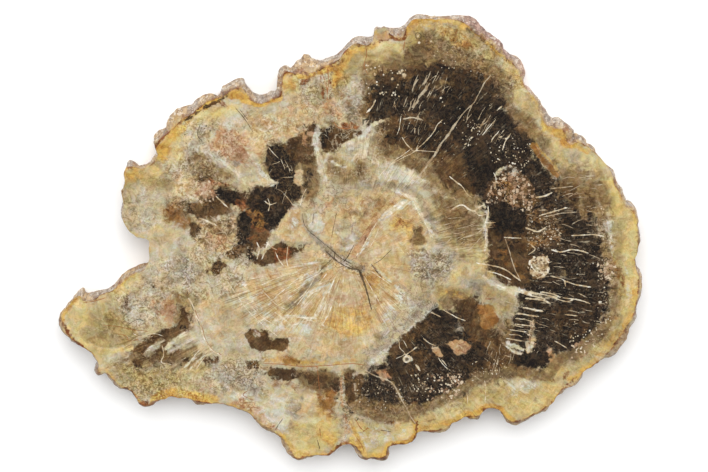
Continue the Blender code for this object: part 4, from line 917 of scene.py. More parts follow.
# Textures of the stone: fibre is its radial streaks, crackle its fine dark joints, web its pale
# threads, and grit its grain of small crystals. Each has its strength and the softness of its edge.
TEXTURES = """
fibre 1 3: -4,-12 -12,-5 -24,-7 -32,-13 -46,-16 -54,-25 -40,-35 -26,-37 -12,-38 -3,-30
fibre 0.8 3: -6,-16 -10,-42 12,-42 24,-26 12,-14 3,-14
fibre 0.5 3: 4,-8 24,-16 32,-4 29,10 20,18 4,18 -6,12
fibre 1 2: 31,20 46,15 55,8 55,-9 40,-9 33,0
fibre 0.6 3: -16,44 12,48 14,32 34,22 20,20 -4,20 -16,24
fibre 0.6 4: 70,28 100,16 102,-34 86,-46 66,-42 70,-10
fibre 0.6 4: 6,62 30,70 58,60 60,42 40,24 28,28 8,34
fibre 0.45 4: 0,-56 20,-42 34,-30 50,-44 66,-56 30,-74 0,-74
fibre 0.4 3: 60,-56 74,-56 84,-64 66,-74 30,-80 30,-74
fibre 0.5 3: -58,36 -40,32 -38,18 -56,26
fibre 0.6 3: -90,-40 -70,-38 -58,-44 -66,-56 -88,-54
fibre 0.3 4: -50,-40 -20,-38 10,-44 4,-52 -30,-52
crackle 1 2: -63,9 -50,11 -45,8 -46,0 -50,-8 -62,-6 -64,2
crackle 0.7 2: -26,20 -14,24 -4,22 0,12 -8,8 -18,11 -25,13
crackle 1 2: 22,-5 36,-5 42,-10 37,-19 24,-18
crackle 0.9 2: -14,-3 -6,-3 6,-9 8,-16 -4,-14 -14,-8
crackle 0.8 2: 18,-20 32,-20 33,-28 18,-44 6,-53 4,-48 16,-36
crackle 0.6 2: -22,66 -12,62 4,58 4,46 -10,44 -22,50
crackle 0.9 1.5: -80,-50 -72,-49 -71,-57 -79,-57
crackle 0.6 2: -50,-3 -30,-4 -38,-13 -50,-12
crackle 0.6 2: -56,-53 -40,-54 -36,-62 -50,-64
crackle 0.5 2: -70,28 -58,30 -54,22 -66,16
crackle 0.6 2: -36,36 -22,36 -14,44 -12,20 -22,14 -36,22
grit 0.1 2: -66,36 -20,44 -12,30 -26,8 -30,-12 -60,-18 -66,-6 -76,14
grit 1 1: 53.5,15 54,21 57,25 62,26.5 67,26 70,22 71.5,17 69,12 65,11.5 62,14.5 57,14
grit 1 2: 70,10 84,9 85,-5 70,-6
grit 0.15 3: 6,70 24,66 36,60 34,46 20,50 8,48 5,58
grit 0.25 3: 50,46 72,42 84,24 96,18 98,-10 100,-34 84,-44 70,-50 68,-24 72,-6 72,26 56,32
fibre 0.5 3: 8,48 46,46 54,30 44,20 30,26 12,28
fibre 0.6 3: -12,46 8,46 12,26 -12,22
grit 0.5 3: 24,-54 46,-54 48,-60 40,-70 26,-70
grit 0.2 3: 14,-48 30,-36 50,-30 56,-42 66,-40 66,-56 30,-58
grit 1 1: -12,-4 -8,-5 -3,-8 0,-10.5 4,-12 6,-15 2,-15 -2,-13.5 -7,-10.5 -11,-7
grit 0.9 2: -63,9 -46,9 -44,-2 -48,-9 -62,-7
grit 0.8 2: 70,14 84,14 85,-4 70,-6
grit 0.8 2: 96,10 104,8 106,-8 106,-26 100,-28 98,-8
web 0.6 3: -88,-16 -76,-14 -58,-8 -56,-18 -66,-24 -78,-38 -90,-34
web 0.6 3: -64,-54 -40,-54 -36,-62 -52,-66 -62,-62
web 0.6 2: 26,-22 32,-26 24,-36 10,-50 4,-48 16,-32
web 0.9 2: -12,46 14,46 12,30 -2,20 -12,22
fibre 1 2: -94,-40 -70,-38 -56,-44 -56,-54 -70,-58 -92,-54
crackle 0.5 3: -92,18 -80,20 -78,4 -88,2
grit 0.3 3: -92,18 -84,22 -76,18 -76,4 -86,0 -92,6
grit 1 3: -95,-24 -84,-16 -74,-18 -76,-36 -88,-38 -95,-32
grit 0.9 3: -72,32 -56,36 -50,22 -58,12 -72,12
grit 1 3: -80,-12 -58,-2 -42,-8 -42,-20 -60,-26 -80,-20
grit 0.7 3: -68,48 -44,48 -40,32 -56,32 -70,34
grit 1 3: -60,-50 -36,-50 -36,-64 -60,-64
grit 0.5 3: 36,86 56,78 60,62 44,68 32,74 26,82
grit 0.8 3: -98,-52 -80,-54 -56,-60 -60,-70 -90,-68
grit 0.6 3: 60,72 72,62 68,56 60,62
grit 0.5 2: -22,66 -6,70 4,62 2,46 -12,48 -24,54
grit 0.8 2: -48,-66 -40,-68 -30,-80 -34,-82 -48,-72
grit 0.9 1.5: -5,-56 -3,-56 0,-86 -4,-88
grit 0.8 2: -50,-2 -38,-4 -38,-14 -50,-16
grit 0.6 3: 2,-58 24,-62 26,-74 2,-74
grit 0.5 3: 99,20 104,8 104,-20 106,-38 98,-46 99,-20
grit 1 2: 24,-5 38,-5 40,-14 34,-19 25,-17
grit 0.6 3: -42,50 -26,52 -18,44 -30,40 -42,36
"""

# How a paint gives way to those below it: where its cover starts and is full, and how much grain
# breaks up its edge. Clear silica fades out, and opaque minerals end sharply.
EDGES = {
    "grey": (0.25, 0.75, 2.0),
    "tan": (0.25, 0.75, 1.7),
    "straw": (0.1, 0.9, 1.2),
    "olive": (0.1, 0.9, 1.2),
    "pink": (0.3, 0.7, 2.0),
    "gold": (0.15, 0.85, 1.4),
    "cream": (0.3, 0.7, 2.0),
    "umber": (0.2, 0.8, 1.8),
    "amber": (0.25, 0.75, 1.8),
    "rust": (0.3, 0.7, 2.0),
    "brown": (0.3, 0.7, 2.2),
    "dark": (0.3, 0.7, 2.0),
}

# Along this part of the border iron has left no stain.
PLAIN_BORDER = "-98,27 -86,27 -80,14 -78,2 -78,-14 -98,-14"

# The patches are drawn with firm edges, and the paints of soft ones bleed further into each other.
FIRM_EDGE = 0.9
SMALL_BLEED = 1.3
BLEED = 2.0

# The edges of the paints stray by noise of these sizes and amounts, and those of bands by a share.
STRAYS = ((5.5, 0.55), (2.1, 0.35), (0.9, 0.2))
BAND_STRAY = 0.8

# Dark silica has a brown seam round it: its cover, and how much wider and softer it is.
SEAM_COVER = 0.65
SEAM_WIDER = 1.4
SEAM_SOFTER = 2.0

# Seeds of the unsteadiness of each kind of line.
LINE_SEEDS = {"pale": 100, "faint": 160, "rust": 120, "dark": 140}

# Dashes bend by about this share of their length, and their widths differ by these factors.
DASH_BEND = 0.1
DASH_WIDTHS = (0.5, 1.2)

# Lines shake a little, swell and thin, and taper to their ends. Their strength is reckoned out to
# this many half widths.
SHAKE = 0.07
SHAKE_SIZE = 1.7
LINE_WIDTH = 0.85
LINE_SWELL = 0.3
LINE_SWELL_SIZE = 1.3
LINE_END = 0.5
LINE_REACH = 9.0

TEXTURE_KINDS = ("fibre", "crackle", "grit", "web")

# Tints that come and go over the minerals, as factors of red, green and blue.
COOL_TINT = (0.95, 1.0, 1.13, 1.0)
WARM_TINT = (1.05, 1.0, 0.87, 1.0)
GREEN_TINT = (0.97, 1.02, 0.95, 1.0)
RED_TINT = (1.05, 0.97, 1.0, 1.0)

# Stained runs of the rind: the middle, how far it reaches, and its low and high tones.
RIND_STAINS = (
    ((54, 80), 17, (104, 74, 68), (188, 152, 140)),
    ((67, 64), 9, (150, 104, 82), (228, 194, 170)),
)

# The stone's tones are darkened by this factor, to suit the studio's light.
TONE_GAIN = 0.85

# Lights: the name, the place and the width in metres, and the power in watts.
LIGHTS = (
    ("high", (0.0, 1.2, 1.6), 1.8, 37.0),
    ("left", (-1.5, 0.3, 1.4), 1.8, 11.0),
    ("right", (1.5, 0.3, 1.4), 1.8, 10.0),
)
WORLD_LIGHT = 0.42
FLOOR_COLOUR = (0.96, 0.96, 0.955)
FLOOR_HALF = 6.0


def read_places(text):
    return np.array([[float(part) for part in place.split(",")] for place in text.split()])


def read_table(table):
    """The rows of a table: the words and numbers before the colon, and the places after it."""
    rows = []
    for line in table.replace("\n   ", "").strip().splitlines():
        head, tail = line.split(":")
        words = [word if word[0].isalpha() else float(word) for word in head.split()]
        rows.append((words, read_places(tail)))
    return rows


# Noise and distances in numpy

def smooth_noise(places, size, seed):
    """Smooth values between -1 and 1 at places in millimetres, in blobs of the size given."""
    random = np.random.default_rng(seed)
    table = random.uniform(-1, 1, 1024)
    order = random.permutation(1024)
    cells = np.floor(places / size)
    part = places / size - cells
    ease = part * part * (3 - 2 * part)
    column, row = cells.astype(int).T

    def corner(right, up):
        return table[order[(order[(column + right) % 1024] + row + up) % 1024]]

    low = corner(0, 0) + (corner(1, 0) - corner(0, 0)) * ease[:, 0]
    high = corner(0, 1) + (corner(1, 1) - corner(0, 1)) * ease[:, 0]
    return low + (high - low) * ease[:, 1]


def wander(places, seed):
    """How far the edges of the paints stray at each place, as steps of about one."""
    steps = []
    for axis in (0, 1):
        start = seed * 10 + axis * 4
        steps.append(sum(amount * smooth_noise(places, size, start + number)
                         for number, (size, amount) in enumerate(STRAYS)))
    return np.stack(steps, axis=1)


def ease_between(low, high, values):
    part = np.clip((values - low) / (high - low), 0, 1)
    return part * part * (3 - 2 * part)


def distance_to_path(places, path):
    """The distance of each place from a path, and how far along the path its nearest point lies."""
    nearest = np.full(len(places), np.inf)
    along = np.zeros(len(places))
    for number in range(len(path) - 1):
        start = path[number]
        run = path[number + 1] - start
        share = np.clip((places - start) @ run / max(run @ run, 1e-9), 0, 1)
        gap = np.linalg.norm(places - start - share[:, None] * run, axis=1)
        closer = gap < nearest
        nearest[closer] = gap[closer]
        along[closer] = number + share[closer]
    return nearest, along


def is_inside(places, outline):
    """True for each place within a closed outline."""
    inside = np.zeros(len(places), dtype=bool)
    x, y = places.T
    for (x0, y0), (x1, y1) in zip(outline, np.roll(outline, -1, axis=0)):
        if y0 == y1:
            continue
        crosses = (y0 > y) != (y1 > y)
        inside ^= crosses & (x < x0 + (y - y0) * (x1 - x0) / (y1 - y0))
    return inside


def depth_inside(places, outline):
    """The distance from a closed outline, positive within it."""
    closed = np.vstack([outline, outline[:1]])
    gap, _ = distance_to_path(places, closed)
    return np.where(is_inside(places, outline), gap, -gap)


def nearby(places, points, margin):
    low = points.min(axis=0) - margin
    high = points.max(axis=0) + margin
    return np.flatnonzero(((places > low) & (places < high)).all(axis=1))


def on_curve(before, here, after, beyond, share):
    """The place at a share of the way from here to after, on a smooth curve through all four."""
    bend = 2 * before - 5 * here + 4 * after - beyond
    twist = 3 * here - before - 3 * after + beyond
    return here + 0.5 * share * ((after - before) + share * (bend + share * twist))


def smooth_path(points, step):
    """Points at even steps on a smooth open curve through the points given."""
    ends = np.vstack([2 * points[0] - points[1], points, 2 * points[-1] - points[-2]])
    curve = []
    for number in range(1, len(ends) - 2):
        for share in np.linspace(0, 1, 8, endpoint=False):
            curve.append(on_curve(*ends[number - 1:number + 3], share))
    curve = np.vstack([curve, points[-1:]])
    reach = np.concatenate([[0], np.cumsum(np.linalg.norm(np.diff(curve, axis=0), axis=1))])
    stops = np.linspace(0, reach[-1], max(2, round(reach[-1] / step) + 1))
    return np.stack([np.interp(stops, reach, curve[:, axis]) for axis in (0, 1)], axis=1)


# Shape of the slice, from the rings of the solid

def read_rings(node):
    """The rings of points round the solid's rim, from the face to the back, in millimetres."""
    work = bmesh.new()
    work.from_mesh(node.data)
    work.transform(node.matrix_world)
    bmesh.ops.remove_doubles(work, verts=work.verts, dist=1e-6)
    heights = {vertex: round(vertex.co.z / MM, 2) for vertex in work.verts}
    rings = []
    for height in sorted(set(heights.values()), reverse=True):
        links = {}
        for edge in work.edges:
            first, second = edge.verts
            level = heights[first] == height and heights[second] == height
            if level and any(heights[vertex] != height for face in edge.link_faces for vertex in face.verts):
                links.setdefault(first, []).append(second)
                links.setdefault(second, []).append(first)
        loop = [max(links, key=lambda vertex: vertex.co.x)]
        loop.append(links[loop[0]][0])
        while len(loop) < len(links):
            loop.append(next(vertex for vertex in links[loop[-1]] if vertex is not loop[-2]))
        ring = np.array([tuple(vertex.co / MM) for vertex in loop])
        x, y = ring[:, 0], ring[:, 1]
        if (x * np.roll(y, -1) - y * np.roll(x, -1)).sum() < 0:
            ring = ring[::-1]
        rings.append(ring)
    work.free()
    return line_up(rings)


def line_up(rings):
    """Turns the rings so that points of one number stand below each other."""
    lined = [rings[0]]
    for ring in rings[1:]:
        gaps = [((lined[-1] - np.roll(ring, -turn, axis=0)) ** 2).sum() for turn in range(len(ring))]
        lined.append(np.roll(ring, -int(np.argmin(gaps)), axis=0))
    return np.array(lined)


def refine_round(rings):
    """Adds points between the points of each ring on a smooth closed curve."""
    four = [np.roll(rings, turn, axis=1) for turn in (1, 0, -1, -2)]
    parts = [on_curve(*four, number / RIM_COLUMNS_EACH) for number in range(RIM_COLUMNS_EACH)]
    return np.stack(parts, axis=2).reshape(len(rings), -1, 3)


def refine_down(rings):
    """Adds rings between the rings from the face down to the back."""
    padded = np.concatenate([rings[:1], rings, rings[-1:]])
    rows = []
    for stop in np.linspace(0, len(rings) - 1, RIM_ROWS + 1):
        number = min(int(stop), len(rings) - 2)
        rows.append(on_curve(*padded[number:number + 4], stop - number))
    return np.array(rows)


def ring_normals(ring):
    run = np.roll(ring[:, :2], -2, axis=0) - np.roll(ring[:, :2], 2, axis=0)
    out = np.stack([run[:, 1], -run[:, 0]], axis=1)
    return out / np.linalg.norm(out, axis=1, keepdims=True)


def bark_relief(place):
    """Height of the bark's ridges, crumbs and hollows at a place, in millimetres."""
    spot = Vector(place)
    drawn = Vector((place[0], place[1], place[2] * BARK_STRETCH))
    height = RIDGE_DEPTH * noise.noise(drawn / RIDGE_SIZE) + CRUMB_DEPTH * noise.noise(spot / CRUMB_SIZE)
    hollow = noise.noise(drawn / HOLLOW_SIZE + HOLLOW_PLACE) - HOLLOW_THRESHOLD
    return height - HOLLOW_DEPTH * max(0.0, hollow)


def nick_depth(place):
    """Depth of the nicks and burrs along an edge at a place, in millimetres."""
    spot = Vector(place)
    nick = noise.noise(spot / NICK_SIZE + NICK_PLACE) - NICK_THRESHOLD
    return NICK_DEPTH * max(0.0, nick) + BURR_DEPTH * abs(noise.noise(spot / BURR_SIZE))


def roughen(rows):
    """Gives the rim the relief of bark, and small nicks along the two edges."""
    rough = rows.copy()
    for number, row in enumerate(rows):
        out = ring_normals(row)
        edge = min(number, len(rows) - 1 - number, len(RELIEF_NEAR_EDGE) - 1)
        amount = RELIEF_NEAR_EDGE[edge]
        for column, place in enumerate(row):
            shift = amount * bark_relief(place) - (1 - amount) * nick_depth(place)
            rough[number, column, :2] += out[column] * shift
    return rough


def grid_inside(outline, spacing, fixed):
    """Points of a triangular grid within an outline, clear of its edge and of fixed points."""
    low = outline.min(axis=0)
    high = outline.max(axis=0)
    rise = spacing * math.sqrt(3) / 2
    rows = []
    for number in range(int((high[1] - low[1]) / rise) + 2):
        x = np.arange(low[0] + (number % 2) * spacing / 2, high[0] + spacing, spacing)
        rows.append(np.stack([x, np.full(len(x), low[1] + number * rise)], axis=1))
    points = np.vstack(rows)
    points += np.random.default_rng(3).uniform(-GRID_SHAKE, GRID_SHAKE, points.shape) * spacing
    points = points[is_inside(points, outline)]
    taken = np.vstack([outline, fixed]) if len(fixed) else outline
    tree = kdtree.KDTree(len(taken))
    for number, (x, y) in enumerate(taken):
        tree.insert((x, y, 0), number)
    tree.balance()
    clear = [tree.find((x, y, 0))[2] > spacing * GRID_CLEARANCE for x, y in points]
    return points[np.array(clear)]


def thin_out(points, gap):
    """Leaves out each point that lies too near one kept before it."""
    kept = {}
    result = []
    for x, y in points:
        cell = (int(x // gap), int(y // gap))
        around = [kept.get((cell[0] + i, cell[1] + j)) for i in (-1, 0, 1) for j in (-1, 0, 1)]
        if any(other and math.dist(other, (x, y)) < gap for other in around):
            continue
        kept[cell] = (x, y)
        result.append((x, y))
    return np.array(result)


def fill_outline(outline, inner):
    """Triangles over an outline and its inner points, the outline's points first."""
    flat = np.vstack([outline, inner])
    corners = [Vector(place) for place in flat]
    result = delaunay_2d_cdt(corners, [], [list(range(len(outline)))], 1, 1e-6, False)
    places = np.array([tuple(place) for place in result[0]])
    faces = np.array([list(face) for face in result[2]])
    faces = faces[is_inside(places[faces].mean(axis=1), outline)]
    return places, faces.tolist()


def make_slice_mesh(node, marks):
    """One closed mesh of the face, the rim and the back, the drawing places and the face's edge."""
    rows = roughen(refine_down(refine_round(read_rings(node))))
    low, high = (np.array(corner) / MM for corner in CAD_BOX)
    rows = np.clip(rows, low, high)
    columns = rows.shape[1]
    zero = face_zero(node)
    outline = rows[0, :, :2]
    marks = marks + zero
    marks = thin_out(marks[depth_inside(marks, outline) > MARK_TO_EDGE], MARK_TO_MARK)
    top, top_faces = fill_outline(outline, np.vstack([marks, grid_inside(outline, FACE_SPACING, marks)]))
    base_outline = rows[-1, :, :2]
    base, base_faces = fill_outline(base_outline, grid_inside(base_outline, BACK_SPACING, []))
    saw = SAW_DEPTH * (1 + smooth_noise(base * (0.2, 1) + base[:, :1] * (0, 0.15), SAW_SIZE, 77))
    saw[:columns] = 0
    points = np.vstack([
        np.column_stack([top, np.full(len(top), high[2])]),
        rows[1:-1].reshape(-1, 3),
        np.column_stack([base, low[2] + saw]),
    ])
    first_rim = len(top)
    first_base = first_rim + columns * (len(rows) - 2)

    def corner(row, column):
        column %= columns
        if row == 0:
            return column
        if row == len(rows) - 1:
            return first_base + column
        return first_rim + (row - 1) * columns + column

    faces = [face if turns_left(top, face) else face[::-1] for face in top_faces]
    looks = [0] * len(faces)
    for row in range(len(rows) - 1):
        for column in range(columns):
            faces.append([corner(row, column), corner(row + 1, column), corner(row + 1, column + 1),
                          corner(row, column + 1)])
            looks.append(1)
    for face in base_faces:
        face = face[::-1] if turns_left(base, face) else face
        faces.append([first_base + number for number in face])
        looks.append(2)
    mesh = bpy.data.meshes.new("petrified wood")
    mesh.from_pydata((points * MM).tolist(), [], faces)
    mesh.polygons.foreach_set("material_index", looks)
    mesh.polygons.foreach_set("use_smooth", [look == 1 for look in looks])
    mesh.update()
    return mesh, points[:, :2] - zero, outline - zero


def turns_left(places, face):
    (x0, y0), (x1, y1), (x2, y2) = places[face[:3]]
    return (x1 - x0) * (y2 - y0) > (x2 - x0) * (y1 - y0)


def face_zero(node):
    """The zero of the drawing in the part's own millimetres, from the box of the polished face."""
    places = np.array([tuple(node.matrix_world @ vertex.co) for vertex in node.data.vertices]) / MM
    face = places[places[:, 2] > places[:, 2].max() - 0.01][:, :2]
    return (face.min(axis=0) + face.max(axis=0)) / 2 - np.array(FACE_MIDDLE)


# Markings

def scatter(random, outline, count):
    """Seeded places within an outline."""
    low = outline.min(axis=0)
    high = outline.max(axis=0)
    tries = random.uniform(low, high, (count * 6, 2))
    return tries[is_inside(tries, outline)][:count]


def scattered_lines():
    """Short parallel lines of the dash fields, with their half widths."""
    random = np.random.default_rng(11)
    lines = []
    for (count, half, least, greatest, direction, spread), outline in read_table(DASH_FIELDS):
        for x, y in scatter(random, outline, int(count)):
            length = random.uniform(least, greatest)
            angle = math.radians(random.normal(direction, spread))
            bend = random.normal(0, DASH_BEND)
            run = np.array([math.cos(angle), math.sin(angle)]) * length / 2
            side = np.array([-run[1], run[0]]) * bend
            points = np.array([(x, y) - run, (x, y) + side, (x, y) + run])
            lines.append((half * random.uniform(*DASH_WIDTHS), points))
    return lines


def scattered_specks():
    random = np.random.default_rng(12)
    specks = []
    for (count, least, greatest), outline in read_table(SPECK_FIELDS):
        for place in scatter(random, outline, int(count)):
            specks.append((least + (greatest - least) * random.random() ** 2, place))
    return specks


def stray_of_line(path, seed):
    """A slight unsteadiness of a line."""
    return SHAKE * np.stack([smooth_noise(path, SHAKE_SIZE, seed + axis) for axis in (0, 1)], axis=1)


def line_strength(places, lines, specks, seed):
    """One on the middle of a line or speck, zero at its edge, and less further off."""
    strength = np.full(len(places), 1 - LINE_REACH)
    for half, points in lines:
        path = smooth_path(points, STROKE_STEP)
        path = path + stray_of_line(path, seed)
        widths = half * (LINE_WIDTH + LINE_SWELL * smooth_noise(path, LINE_SWELL_SIZE, seed + 2))
        widths[[0, -1]] *= LINE_END
        near = nearby(places, path, half * LINE_REACH)
        gap, along = distance_to_path(places[near], path)
        width = np.interp(along, np.arange(len(path)), widths)
        strength[near] = np.maximum(strength[near], 1 - gap / width)
    for half, place in specks:
        near = nearby(places, place[None], half * LINE_REACH)
        gap = np.linalg.norm(places[near] - place, axis=1)
        strength[near] = np.maximum(strength[near], 1 - gap / half)
    return strength


def gather_lines():
    """The lines and the spots of each kind, with their half widths."""
    lines = {kind: [] for kind in LINE_SEEDS}
    spots = {kind: [] for kind in LINE_SEEDS}
    for (kind, half), path in read_table(LINES):
        if len(path) > 1:
            lines[kind].append((half, path))
        else:
            spots[kind].append((half, path[0]))
    lines["faint"] += scattered_lines()
    spots["pale"] += scattered_specks()
    return lines, spots


def mark_points(lines, spots):
    """Places where the mesh needs a point of its own so that lines and spots stay sharp."""
    middles = []
    besides = []
    for kind, seed in LINE_SEEDS.items():
        for half, line in lines[kind]:
            path = smooth_path(line, STROKE_STEP)
            path = path + stray_of_line(path, seed)
            run = np.gradient(path, axis=0)
            side = np.stack([-run[:, 1], run[:, 0]], axis=1) / np.linalg.norm(run, axis=1, keepdims=True)
            middles.append(path)
            side *= half + BESIDE_LINE
            besides += [path + side, path - side]
        for half, place in spots[kind]:
            middles.append(place[None])
            turns = np.arange(SPOT_TURNS) * math.tau / SPOT_TURNS
            ring = np.stack([np.cos(turns), np.sin(turns)], axis=1)
            besides.append(place + (half + AROUND_SPOT) * ring)
    return np.vstack(middles + besides)


def lay(weights, paint, cover):
    """Lays a paint over the paints that are there."""
    weights *= (1 - cover)[:, None]
    weights[:, PAINTS.index(paint)] += cover


def paint_weights(places):
    """How much of each paint lies at each place."""
    weights = np.zeros((len(places), len(PAINTS)))
    weights[:, 0] = 1
    strays = [wander(places, seed) for seed in range(4)]
    for (paint, opacity, soft, stray), outline in read_table(PATCHES):
        soft *= BLEED if soft > FIRM_EDGE else SMALL_BLEED
        near = nearby(places, outline, soft + stray + SEAM_WIDER + SEAM_SOFTER + 1)
        moved = places[near] + stray * strays[len(outline) % 4][near]
        depth = depth_inside(moved, outline)
        cover = np.zeros(len(places))
        if paint == "dark":
            reach = soft + SEAM_SOFTER
            cover[near] = SEAM_COVER * opacity * ease_between(-reach, reach, depth + SEAM_WIDER)
            lay(weights, "brown", cover)
        cover[near] = opacity * ease_between(-soft, soft, depth)
        lay(weights, paint, cover)
    for (paint, opacity, half, soft), points in read_table(BANDS):
        path = smooth_path(points, 1.0)
        near = nearby(places, path, half + soft + 2)
        moved = places[near] + BAND_STRAY * strays[len(points) % 4][near]
        gap, _ = distance_to_path(moved, path)
        cover = np.zeros(len(places))
        cover[near] = opacity * ease_between(half + soft, half - soft * 0.5, gap)
        lay(weights, paint, cover)
    return weights


def stain_border(weights, places, outline):
    """Iron has stained the border of the face: gold a little way in, and rust at the very edge."""
    stained = ease_between(2, -2, depth_inside(places, read_places(PLAIN_BORDER)))
    depth = np.maximum(depth_inside(places, outline), 0)
    reach = 1.0 + 1.0 * smooth_noise(places, 7.0, 61) + 0.5 * smooth_noise(places, 2.0, 62)
    lay(weights, "gold", 0.4 * stained * ease_between(reach + 0.9, reach - 0.9, depth))
    reach = 0.3 + 0.4 * smooth_noise(places, 3.5, 63) + 0.2 * smooth_noise(places, 1.2, 64)
    lay(weights, "rust", 0.45 * stained * ease_between(reach + 0.4, reach - 0.4, depth))


def over_shares(weights):
    """Turns weights that add up to one into the cover of each paint over those before it."""
    totals = np.cumsum(weights, axis=1)
    return weights / np.maximum(totals, 1e-6)


def raise_share(share, places, stray, outline, soft, margin, most):
    """Raises a share to its most within an outline whose soft edge strays."""
    near = nearby(places, outline, margin)
    depth = depth_inside(places[near] + stray[near], outline)
    share[near] = np.maximum(share[near], most * ease_between(-soft, soft, depth))


def mosaic_share(places):
    share = np.zeros(len(places))
    stray = wander(places, 9)
    for (most, soft, amount), outline in read_table(MOSAICS):
        raise_share(share, places, amount * stray, outline, soft, soft + amount, most)
    return share


def texture_share(places, name):
    share = np.zeros(len(places))
    stray = 2 * wander(places, 8)
    for (kind, most, soft), outline in read_table(TEXTURES):
        if kind == name:
            raise_share(share, places, stray, outline, soft, soft + 3, most)
    return share


def store(mesh, name, values):
    attribute = mesh.attributes.new(name, "FLOAT", "POINT")
    attribute.data.foreach_set("value", values.astype(np.float32))


# Building blocks of the materials

def linear(colour):
    """An sRGB colour out of 255 as linear light."""
    values = []
    for value in colour:
        share = value / 255
        values.append(share / 12.92 if share <= 0.04045 else ((share + 0.055) / 1.055) ** 2.4)
    return tuple(value * TONE_GAIN for value in values) + (1.0,)


def put(tree, socket, value):
    """Links a socket, or sets it when the value is plain."""
    if isinstance(value, bpy.types.NodeSocket):
        tree.links.new(value, socket)
    else:
        socket.default_value = value


def sums(tree, operation, *values):
    node = tree.nodes.new("ShaderNodeMath")
    node.operation = operation
    for socket, value in zip(node.inputs, values):
        put(tree, socket, value)
    return node.outputs[0]


def add(tree, first, *others):
    """The sum of all the values."""
    for value in others:
        first = sums(tree, "ADD", first, value)
    return first


def times(tree, first, *others):
    """The product of all the values."""
    for value in others:
        first = sums(tree, "MULTIPLY", first, value)
    return first


def vectors(tree, operation, *values, output=0, **named):
    node = tree.nodes.new("ShaderNodeVectorMath")
    node.operation = operation
    for socket, value in zip(node.inputs, values):
        put(tree, socket, value)
    for name, value in named.items():
        put(tree, node.inputs[name.capitalize()], value)
    return node.outputs[output]


def blend(tree, share, below, above):
    node = tree.nodes.new("ShaderNodeMix")
    node.data_type = "RGBA"
    put(tree, node.inputs[0], share)
    put(tree, node.inputs[6], below)
    put(tree, node.inputs[7], above)
    return node.outputs[2]


def step_between(tree, value, low, high, out_low=0.0, out_high=1.0):
    node = tree.nodes.new("ShaderNodeMapRange")
    node.interpolation_type = "SMOOTHSTEP"
    for socket, item in zip(node.inputs, (value, low, high, out_low, out_high)):
        put(tree, socket, item)
    return node.outputs[0]


def grain(tree, where, size, shift=0.0, detail=3, roughness=0.6):
    """Noise between zero and one, with blobs of a size in the units of the place.

    The shift moves the place, so that each use has a pattern of its own.
    """
    node = tree.nodes.new("ShaderNodeTexNoise")
    put(tree, node.inputs["Vector"], vectors(tree, "ADD", where, (shift, shift * 0.7, shift * 1.3)))
    node.inputs["Scale"].default_value = 1 / size
    node.inputs["Detail"].default_value = detail
    node.inputs["Roughness"].default_value = roughness
    return node.outputs[0]


def ramp(tree, value, stops):
    """A colour ramp through sRGB colours at the positions given."""
    node = tree.nodes.new("ShaderNodeValToRGB")
    points = node.color_ramp.elements
    while len(points) < len(stops):
        points.new(0.5)
    for point, (position, colour) in zip(points, stops):
        point.position = position
        point.color = linear(colour)
    put(tree, node.inputs[0], value)
    return node.outputs[0]


def mesh_value(tree, name):
    node = tree.nodes.new("ShaderNodeAttribute")
    node.attribute_name = name
    return node.outputs["Fac"]


def millimetres(tree):
    """Places on the stone in the drawing's millimetres."""
    place = tree.nodes.new("ShaderNodeTexCoord").outputs["Object"]
    return vectors(tree, "SCALE", place, scale=1 / MM)


def from_pith(tree, where, zero):
    """The direction from the pith as a unit vector, and the distance from it."""
    pith = (PITH[0] + zero[0], PITH[1] + zero[1], 0.0)
    flat = vectors(tree, "MULTIPLY", vectors(tree, "SUBTRACT", where, pith), (1, 1, 0))
    return vectors(tree, "NORMALIZE", flat), vectors(tree, "LENGTH", flat, output=1)


def polar(tree, direction, distance, turns, steps):
    """Places that stretch noise along the rays or round the rings."""
    joined = tree.nodes.new("ShaderNodeCombineXYZ")
    put(tree, joined.inputs[2], times(tree, distance, steps))
    return vectors(tree, "ADD", vectors(tree, "SCALE", direction, scale=turns), joined.outputs[0])


def new_material(name):
    material = bpy.data.materials.new(name)
    material.use_nodes = True
    tree = material.node_tree
    tree.nodes.clear()
    shader = tree.nodes.new("ShaderNodeBsdfPrincipled")
    output = tree.nodes.new("ShaderNodeOutputMaterial")
    tree.links.new(shader.outputs["BSDF"], output.inputs["Surface"])
    return material, tree, shader


def bump(tree, height, depth, strength=1.0):
    """Fine relief of the depth given in metres."""
    node = tree.nodes.new("ShaderNodeBump")
    node.inputs["Strength"].default_value = strength
    node.inputs["Distance"].default_value = depth
    put(tree, node.inputs["Height"], height)
    return node.outputs["Normal"]


def centred(tree, value, amount):
    """Noise turned into a shift of the amount given, to either side of zero."""
    return times(tree, sums(tree, "SUBTRACT", value, 0.5), amount)


# The minerals

